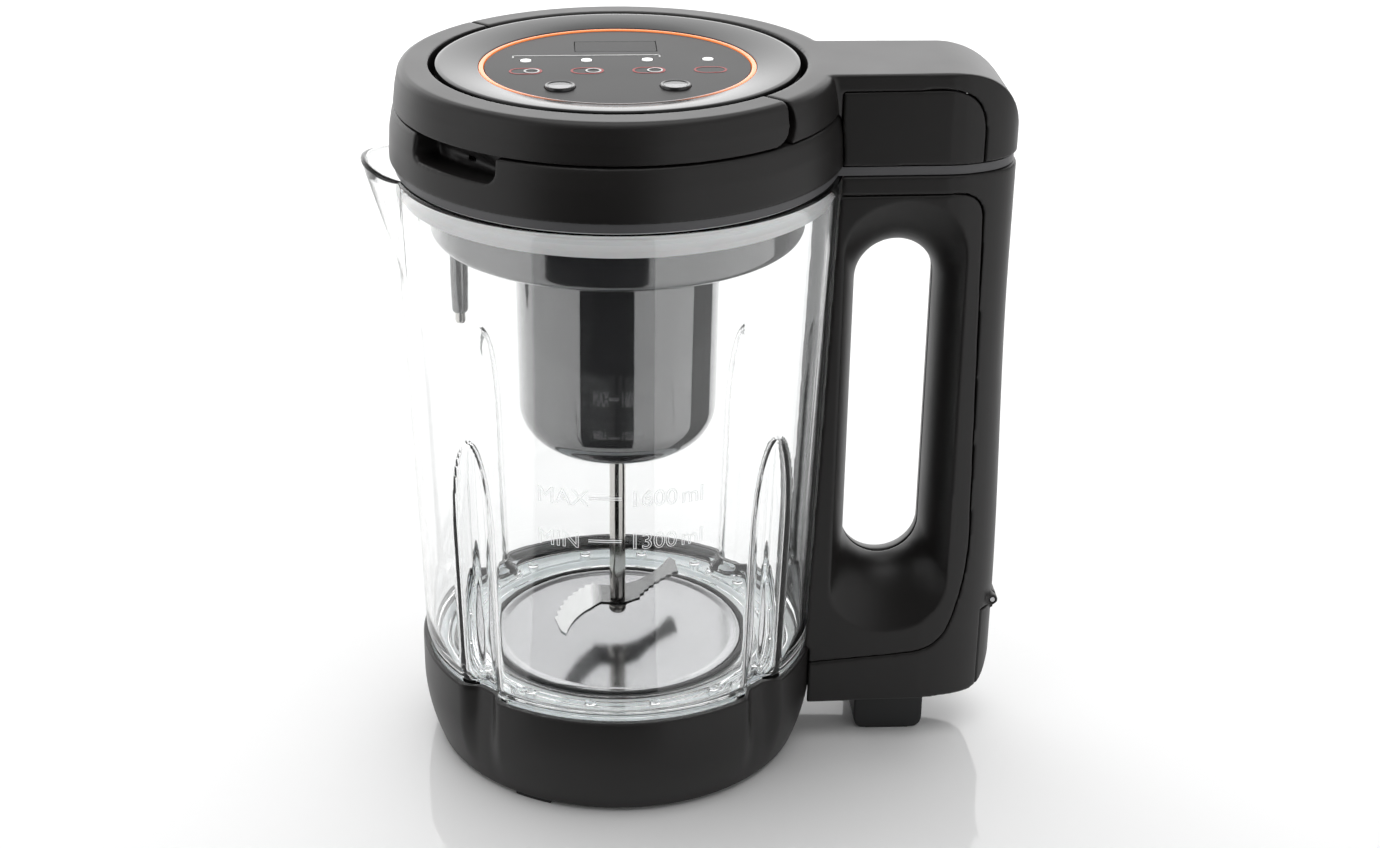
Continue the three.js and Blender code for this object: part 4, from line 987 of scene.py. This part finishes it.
ringPart = common(band(deckTop + gap),
                  prism(sector(bailInner - 1, lidRadius + 5, -44.6, 134.6, 60), deckTop, lidTop + 1))
swing = alongBail(arc(bailShape["swingRadius"], 0, 345, 23, centre=pivotCentre))
behind = alongBail([(-0.5, deckTop - 1), (-0.5, lidTop + 2), (20, lidTop + 2), (20, deckTop - 1)])
ringPart = cut(ringPart, swing, behind)
rearCover = cut(join(ringPart, copyOf(bridgeShell)), bridgeZone(0))
moulded(rearCover, 0.6, 5)
piece(rearCover, "lidRearCover", "lid", satinBlack, ["lid_rear_cover"], 180)
for name, side in (("left", -1), ("right", 1)):
    cheek = common(copyOf(bridgeShell), bridgeZone(gap), halfSpace(side))
    moulded(cheek, 0.5, 5)
    piece(cheek, "bridgeCheek_" + name, "lid", satinBlack,
          ["bridge_cheek_" + name], 180)
bpy.data.objects.remove(bridgeShell)

low = rimHeight + gap
trim = lathe([(plugRadius + gap, low), (lidRadius - 1.8, low), (lidRadius - 1.8, low + 3.2),
              (plugRadius + gap, low + 3.2)], 240)
arm = cut(common(column(1, low - 5, low + 8, 2),
                 block(handleNear, -40, low, handleReach - 0.6, 40, low + 3.2)),
          prism(arc(plugRadius + 3.3, 0, 358, 179), 0, lidTop))
trim = cut(join(trim, arm), block(101, -7, low - 1, 120, 7, low + 5))
piece(trim, "lidTrim", "lid", trimGrey, ["lid_trim"])

drum = lathe([
    (cupRadius + gap, plugBottom), (plugRadius - 5, plugBottom),
    *arc(5, -90, 0, 10, centre=(plugRadius - 5, plugBottom + 5)),
    (plugRadius, lidBottom + 12), (plugRadius - 2.4, lidBottom + 12), (plugRadius - 2.4, plugBottom + 5),
    (plugRadius - 5.4, plugBottom + 2.4), (cupRadius + gap, plugBottom + 2.4),
], 224)
drumWall = 2.4
sensorX = -(plugRadius - drumWall - 7.8)
drum = cut(drum, prism(arc(3.7, 0, 345, 23, centre=(sensorX, 0)), 0, plugBottom + 4))
piece(drum, "lidDrum", "lid", drumGrey, ["lid_plug"])

sealShape = {"depth": 9.7, "lipRoom": 0.8}
sealLow = rimHeight - sealShape["depth"]
lip = jugInner - sealShape["lipRoom"]
seal = lathe([
    (plugRadius + gap, sealLow), (lip - 2, sealLow), (lip - 0.5, sealLow + 0.6), (lip, sealLow + 1.8),
    (lip, sealLow + 3), (lip - 0.8, sealLow + 4), (lip - 2, sealLow + 4.6), (lip - 2, sealLow + 6),
    (lip - 0.8, sealLow + 6.6), (lip, sealLow + 7.4), (lip, sealLow + 9.3),
    (plugRadius + gap, sealLow + 9.3),
], 224)
piece(seal, "lidSeal", "lid", sealSilicone, ["lid_seal"])

cupCorner = cupShape["corner"]
cupTop = plugBottom + 2.4 + gap
cup = lathe([
    (8.3, cupBottom),
    *arc(cupCorner, -90, 0, 16, centre=(cupRadius - cupCorner - 0.8, cupBottom + cupCorner)),
    (cupRadius, cupTop), (cupRadius + 6, cupTop), (cupRadius + 6, cupTop + 2.2),
    (cupRadius - cupShape["wall"], cupTop + 2.2), (cupRadius - cupShape["wall"], cupBottom + 25),
    (cupRadius - 6, cupBottom + 25),
    *arc(13, 0, -90, 10, centre=(cupRadius - 19, cupBottom + 16)),
    (12.8, cupBottom + 3), (12.8, cupBottom + 11), (9.8, cupBottom + 11), (9.8, cupBottom + 4.7),
    (8.3, cupBottom + 4.7),
], 192)
piece(cup, "motorCup", "lid", cupGloss, ["motor_cup"])

sleeveLow = plugBottom - 32.3
sleeve = shifted(lathe([
    (2.3, sleeveLow), (2.6, sleeveLow), (3.1, sleeveLow + 0.8), (3.4, sleeveLow + 12),
    (3.4, plugBottom + 2.7), (4.6, plugBottom + 2.7), (4.6, plugBottom + 4.4), (2.3, plugBottom + 4.4),
], 64), sensorX)
piece(sleeve, "sensorSleeve", "lid", drumGrey, ["sensor_sleeve"])
probe = shifted(lathe([
    (0, sleeveLow - 4.9), (0.8, sleeveLow - 4.8), (1.6, sleeveLow - 4.4), (2, sleeveLow - 3.6),
    (2, plugBottom + 6), (0, plugBottom + 6),
], 64), sensorX)
piece(probe, "sensorProbe", "lid", shaftSteel, ["sensor_probe"])

print("rotor")
bladeShape = {"thickness": 1.2, "bendX": -8.3, "bendY": 3.4, "rise": 0.3, "hole": 2}
shaftTop = corner("drive_shaft", 1).z
nutLow = bladeHeight - 5
shaft = lathe([
    (0, nutLow + 1), (1.8, nutLow + 1), (1.8, bladeHeight + 1.6), (2.8, bladeHeight + 1.6),
    (3.15, bladeHeight + 2), (3.15, 128), (3.15, shaftTop), (0, shaftTop),
], 64)
piece(shaft, "driveShaft", "blade_rotor", shaftSteel, ["drive_shaft"])


def toothed(start, end, bulge, teeth, depth):
    start, end = np.array(start, float), np.array(end, float)
    along = end - start
    side = np.array([along[1], -along[0]]) / np.linalg.norm(along)
    points = []
    for i in range(2 * teeth + 1):
        t = i / (2 * teeth)
        bow = bulge * 4 * t * (1 - t) + (depth if i % 2 else 0)
        points.append(tuple(start + along * t + side * bow))
    return points


flatPart = prism([
    (-9.9, 10.8), *bezier((-2.7, 9.6), (6, 10), (14, 15), (22.5, 33), steps=12)[:-1],
    (22.5, 33), (24.9, 30), (24.8, 27.5), *toothed((25.6, 20.6), (9, -0.6), 1.6, 7, 1.1),
    (3.5, -4.2), (-3.5, -4.4), (-6.8, -4),
], bladeHeight, bladeHeight + bladeShape["thickness"])


# The arm rises beyond a line across the blade.
def bentUp(points):
    x, y, z = points.T
    beyond = np.maximum(0, (y - bladeShape["bendY"]) * 0.205 - (x - bladeShape["bendX"]) * 0.979)
    return np.column_stack([x, y, z + bladeShape["rise"] * beyond])


bentPart = prism([
    *toothed((-9.9, 10.8), (-25.2, -22), 2.6, 8, -1.1), (-22.9, -30), (-20.8, -31.8),
    *bezier((-20.8, -31.8), (-17.5, -15), (-6.8, -4), steps=10)[1:],
], bladeHeight, bladeHeight + bladeShape["thickness"], move=bentUp)
blade = cut(joined([flatPart, bentPart]),
            prism(arc(bladeShape["hole"], 0, 350, 35), bladeHeight - 1, bladeHeight + 3))
piece(blade, "blade", "blade_rotor", bladeSteel, ["blade"], 25)
nut = lathe([
    (0, nutLow), (2, nutLow), (2.8, nutLow + 0.3), (3.5, nutLow + 1.2), (3.6, nutLow + 3),
    (3.2, nutLow + 3.3), (4.2, nutLow + 3.8), (4.4, bladeHeight - gap), (2, bladeHeight - gap),
    (2, nutLow + 0.7), (0, nutLow + 0.7),
], 64)
piece(nut, "bladeNut", "blade_rotor", shaftSteel, ["blade_nut"])

print("panel")
bezelShape = {"slopeWidth": 14, "slopeFall": 0.5, "slopeCurve": 1.4, "ringWidth": 2.2}
panelRadius = ringRadius - bezelShape["ringWidth"]
flangeTop = panelTop - 2.4
bezel = lathe([
    (ringRadius, flangeTop + gap), (rimInner - gap, flangeTop + gap), (rimInner - gap, panelTop),
    (bezelRadius, panelTop), (bezelRadius, lidTop - 0.9), (bezelRadius - 0.3, lidTop - 0.3),
    *[(bezelRadius - 1 - t * bezelShape["slopeWidth"],
       lidTop - bezelShape["slopeFall"] * t - bezelShape["slopeCurve"] * t ** 1.6)
      for t in np.linspace(0, 1, 16)],
    (ringRadius + 0.2, panelTop + 0.42), (ringRadius, panelTop + 0.3),
], 256)
piece(bezel, "lidBezel", "lid", bezelGloss, ["lid_bezel"])

ringShape = lathe([
    (panelRadius + gap, flangeTop + gap), (ringRadius - gap, flangeTop + gap),
    (ringRadius - gap, panelTop + 0.2), (ringRadius - gap - 0.3, panelTop + 0.4),
    (panelRadius + gap + 0.3, panelTop + 0.4), (panelRadius + gap, panelTop + 0.2),
], 256)
piece(ringShape, "lightRing", "lid", lightRing, ["light_ring"])


def capsule(x, y, length, width, steps=12):
    reach = (length - width) / 2
    return (arc(width / 2, -90, 90, steps, centre=(x + reach, y))
            + arc(width / 2, 90, 270, steps, centre=(x - reach, y)))


panelShape = {
    "lampY": 7.5, "lampRadius": 2, "lampHole": 2.3,
    "buttonY": -27, "buttonHole": 5.7,
    "windowX": 15, "windowLow": 19, "windowHigh": 33, "windowRoom": 0.3,
    "iconY": -6.5, "iconLength": 12, "iconHeight": 8, "dialRadius": 2.9, "dialOffset": 2.2,
    "bracketY": 14, "inkThickness": 0.06,
}
lampY, buttonY = panelShape["lampY"], panelShape["buttonY"]
lampPitch = panelRadius * 22 / 48
lampSpots = [step * lampPitch for step in (-1.5, -0.5, 0.5, 1.5)]
buttonSpots = [("mode_button", "modeButton", "mode_button_cap", -21),
               ("start_button", "startButton", "start_button_cap", 19.5)]
face = lathe([(0, panelTop - 4), (panelRadius, panelTop - 4), (panelRadius, panelTop - 0.2),
              (panelRadius - 0.2, panelTop), (0, panelTop)], 256)
flange = lathe([(panelRadius - 2, panelTop - 4), (rimInner - 0.5, panelTop - 4),
                (rimInner - 0.5, flangeTop), (panelRadius - 2, flangeTop)], 256)
holes = [prism(arc(panelShape["lampHole"], 0, 350, 35, centre=(x, lampY)), panelTop - 13, panelTop + 1)
         for x in lampSpots]
holes += [prism(arc(panelShape["buttonHole"], 0, 354, 59, centre=(x, buttonY)),
                panelTop - 5, panelTop + 1) for *_, x in buttonSpots]
windowX, windowLow, windowHigh, room = [
    panelShape[part] for part in ("windowX", "windowLow", "windowHigh", "windowRoom")]
holes.append(block(-windowX - room, windowLow - room, panelTop - 1.4,
                   windowX + room, windowHigh + room, panelTop + 1))
panel = cut(join(face, flange), *holes)
piece(panel, "controlPanel", "lid", panelFilm, ["control_panel"])

window = prism(rounded([(-windowX, windowLow, 0.8), (windowX, windowLow, 0.8),
                        (windowX, windowHigh, 0.8), (-windowX, windowHigh, 0.8)]),
               panelTop - 1.1, panelTop)
piece(window, "displayWindow", "lid", displayGlass, ["display_window"])
for i, x in enumerate(lampSpots):
    lamp = prism(arc(panelShape["lampRadius"], 0, 350, 35, centre=(x, lampY)),
                 panelTop - 9.5, panelTop + 0.2)
    piece(lamp, f"indicatorLight_{i + 1}", "lid", lampLens, [f"indicator_light_{i + 1}"])
for node, name, body, x in buttonSpots:
    cap = shifted(lathe([
        (0, panelTop - 5.5), (6.6, panelTop - 5.5), (6.6, panelTop - 4.3), (5.4, panelTop - 4.3),
        (5.4, panelTop + 0.5), (5.2, panelTop + 0.8), (4.9, panelTop + 0.9), (4.5, panelTop + 0.8),
        (4.3, panelTop + 0.6), (2, panelTop + 0.55), (0, panelTop + 0.55),
    ], 96), x, buttonY)
    piece(cap, name, body, buttonGloss, [node])


# Printed marks, and the painted highlights on the buttons, are thin raised strips.
def ink(outlines, level, name, material, body="lid"):
    shapes = [prism(o, level, level + panelShape["inkThickness"]) for o in outlines]
    return piece(joined(shapes), name, body, material)


def strip(x0, y0, x1, y1, width=0.5):
    along = np.array([x1 - x0, y1 - y0], float)
    side = np.array([-along[1], along[0]]) / np.linalg.norm(along) * width / 2
    a, b = np.array([x0, y0]), np.array([x1, y1])
    return [a + side, a - side, b - side, b + side]


inkLevel = panelTop + 0.02
bracketY = panelShape["bracketY"]
ink([
    strip(lampSpots[0] - 5, bracketY, lampSpots[2] + 5, bracketY, 0.7),
    strip(lampSpots[0] - 4.7, bracketY - 3, lampSpots[0] - 4.7, bracketY + 0.3, 0.6),
    strip(lampSpots[2] + 4.7, bracketY - 3, lampSpots[2] + 4.7, bracketY + 0.3, 0.6),
], inkLevel, "panelBracket", inkWhite)


def outlined(outline, width):
    middle = np.mean(np.array(outline, float), axis=0)
    spots = [np.array(p, float) for p in outline]
    inner = [p - (p - middle) * width / np.linalg.norm(p - middle) for p in spots]
    return [[spots[i], spots[i - 1], inner[i - 1], inner[i]] for i in range(len(spots))]


for i, x in enumerate(lampSpots):
    pill = capsule(x, panelShape["iconY"], panelShape["iconLength"], panelShape["iconHeight"])
    ink(outlined(pill, 0.8), inkLevel, f"programMark_{i + 1}", inkRed)
    if i < 3:
        dial = arc(panelShape["dialRadius"], 0, 345, 23,
                   centre=(x + panelShape["dialOffset"], panelShape["iconY"]))
        ink(outlined(dial, 0.7), inkLevel + 0.08, f"programDial_{i + 1}", inkWhite)
# Painted highlight: a light half-disc on the lower half of each button cap stands in for the reflection
# the glossy cap catches there.
for node, name, body, x in buttonSpots:
    ink([arc(4.1, 175, 365, 38, centre=(x, buttonY))], panelTop + 0.6, name + "Mark", buttonPaintedHighlight, body)

# The other nodes keep their own shape and take a finish.
finishes = {
    "base_foot_1": rubberBlack, "base_foot_2": rubberBlack, "wiring_loom": rubberBlack,
    "shaft_seal": rubberBlack, "base_cover": satinBlack, "thermostat": innerGrey,
    "contact_socket": innerGrey, "inlet_socket": innerGrey, "contact_plug": innerGrey,
    "motor_end_plate": innerGrey, "cooling_fan": innerGrey, "armature": windingCopper,
    "commutator": windingCopper, "control_board": boardGreen,
}
print("inner parts")
for name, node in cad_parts.items():
    for place in node.material_slots:
        place.link = "OBJECT"
        place.material = finishes.get(name, partSteel)

print("stage")
floor = makeMesh("floor", [(-6, -4, 0), (6, -4, 0), (6, 9, 0), (-6, 9, 0)], [[0, 1, 2, 3]])
floorMaterial, nodes, links, shader = newMaterial("floorWhite")
shader.inputs["Base Color"].default_value = (0.92, 0.92, 0.92, 1)
shader.inputs["Roughness"].default_value = 0.06
floor.data.materials.append(floorMaterial)

# A dark card lies in front of the machine, out of the camera's sight, and darkens what
# the upright faces reflect.
card = prism(sector(0.135 / mm, 2.4 / mm, -133, -74, 40), 1, 1.5)
points = readPoints(card.data) * mm
points[:, 0] += axisX
writePoints(card.data, points)
cardMaterial, nodes, links, shader = newMaterial("cardBlack")
shader.inputs["Base Color"].default_value = (0.004, 0.004, 0.004, 1)
shader.inputs["Roughness"].default_value = 0.9
shader.inputs["Specular IOR Level"].default_value = 0
card.data.materials.append(cardMaterial)
card.name = "darkCard"
card.visible_camera = False
card.visible_shadow = False
card.visible_diffuse = False

world = bpy.data.worlds.new("studio")
bpy.context.scene.world = world
world.use_nodes = True
nodes, links = world.node_tree.nodes, world.node_tree.links
place = nodes.new("ShaderNodeTexCoord")
apart = nodes.new("ShaderNodeSeparateXYZ")
links.new(place.outputs["Generated"], apart.inputs["Vector"])
toFront = mathNode(nodes, links, "MULTIPLY", apart.outputs["Y"], -1)
angle = mathNode(nodes, links, "ARCTAN2", apart.outputs["X"], toFront)
share = mathNode(nodes, links, "ADD", mathNode(nodes, links, "DIVIDE", angle, 2 * math.pi), 0.5)
ramp = nodes.new("ShaderNodeValToRGB")
links.new(share, ramp.inputs["Fac"])
# Degrees round from the side that faces the viewer, and how bright the studio is there.
studioLevels = [(-180, 0.95), (-140, 0.95), (-125, 0.5), (-100, 0.2), (-92, 0.5), (-48, 0.45), (-43, 0.03),
                (16, 0.03), (20, 0.35), (84, 0.35), (95, 0.15), (120, 0.2), (145, 0.85), (180, 0.95)]
elements = ramp.color_ramp.elements
for i, (azimuth, level) in enumerate(studioLevels):
    spot = (azimuth + 180) / 360
    element = elements[i] if i < 2 else elements.new(spot)
    element.position = spot
    element.color = (level, level, level, 1)
reflected = nodes["Background"]
overhead = nodes.new("ShaderNodeMapRange")
overhead.inputs["From Min"].default_value = 0.5
overhead.inputs["From Max"].default_value = 0.72
links.new(apart.outputs["Z"], overhead.inputs["Value"])
dome = nodes.new("ShaderNodeMix")
dome.data_type = "RGBA"
links.new(overhead.outputs["Result"], dome.inputs["Factor"])
links.new(ramp.outputs["Color"], dome.inputs["A"])
dome.inputs["B"].default_value = (0.06, 0.06, 0.06, 1)
crown = nodes.new("ShaderNodeMapRange")
crown.inputs["From Min"].default_value = 0.84
crown.inputs["From Max"].default_value = 0.88
links.new(apart.outputs["Z"], crown.inputs["Value"])
top = nodes.new("ShaderNodeMix")
top.data_type = "RGBA"
links.new(crown.outputs["Result"], top.inputs["Factor"])
links.new(dome.outputs["Result"], top.inputs["A"])
top.inputs["B"].default_value = (0.65, 0.65, 0.65, 1)
links.new(top.outputs["Result"], reflected.inputs["Color"])
reflected.inputs["Strength"].default_value = 2.6  # the levels above are shares of this
plain = nodes.new("ShaderNodeBackground")
plain.inputs["Color"].default_value = (1, 1, 1, 1)
plain.inputs["Strength"].default_value = 1
path = nodes.new("ShaderNodeLightPath")
mix = nodes.new("ShaderNodeMixShader")
links.new(path.outputs["Is Camera Ray"], mix.inputs["Fac"])
links.new(reflected.outputs["Background"], mix.inputs[1])
links.new(plain.outputs["Background"], mix.inputs[2])
links.new(mix.outputs["Shader"], nodes["World Output"].inputs["Surface"])


def softbox(name, location, target, width, height, power):
    light = bpy.data.lights.new(name, "AREA")
    light.shape = "RECTANGLE"
    light.size = width
    light.size_y = height
    light.energy = power
    made = bpy.data.objects.new(name, light)
    made.location = location
    direction = Vector(target) - Vector(location)
    made.rotation_euler = direction.to_track_quat("-Z", "Y").to_euler()
    bpy.context.scene.collection.objects.link(made)
    return made


softbox("topLight", (0, 0.5, 2.2), (0, 0.2, 0), 3.4, 3.4, 12)

view = {
    "lens": 59.32, "sensor": 36, "shift": 0.0525, "place": (-0.05343, -0.79961, 0.49464),
    "tilt": 65.47, "turn": -1.8,
}
camera = bpy.data.cameras.new("camera")
camera.lens = view["lens"]
camera.sensor_width = view["sensor"]
camera.shift_x = view["shift"]
viewer = bpy.data.objects.new("camera", camera)
viewer.location = view["place"]
viewer.rotation_euler = (math.radians(view["tilt"]), 0, math.radians(view["turn"]))
bpy.context.scene.collection.objects.link(viewer)
bpy.context.scene.camera = viewer
bpy.context.scene.view_settings.view_transform = "Standard"
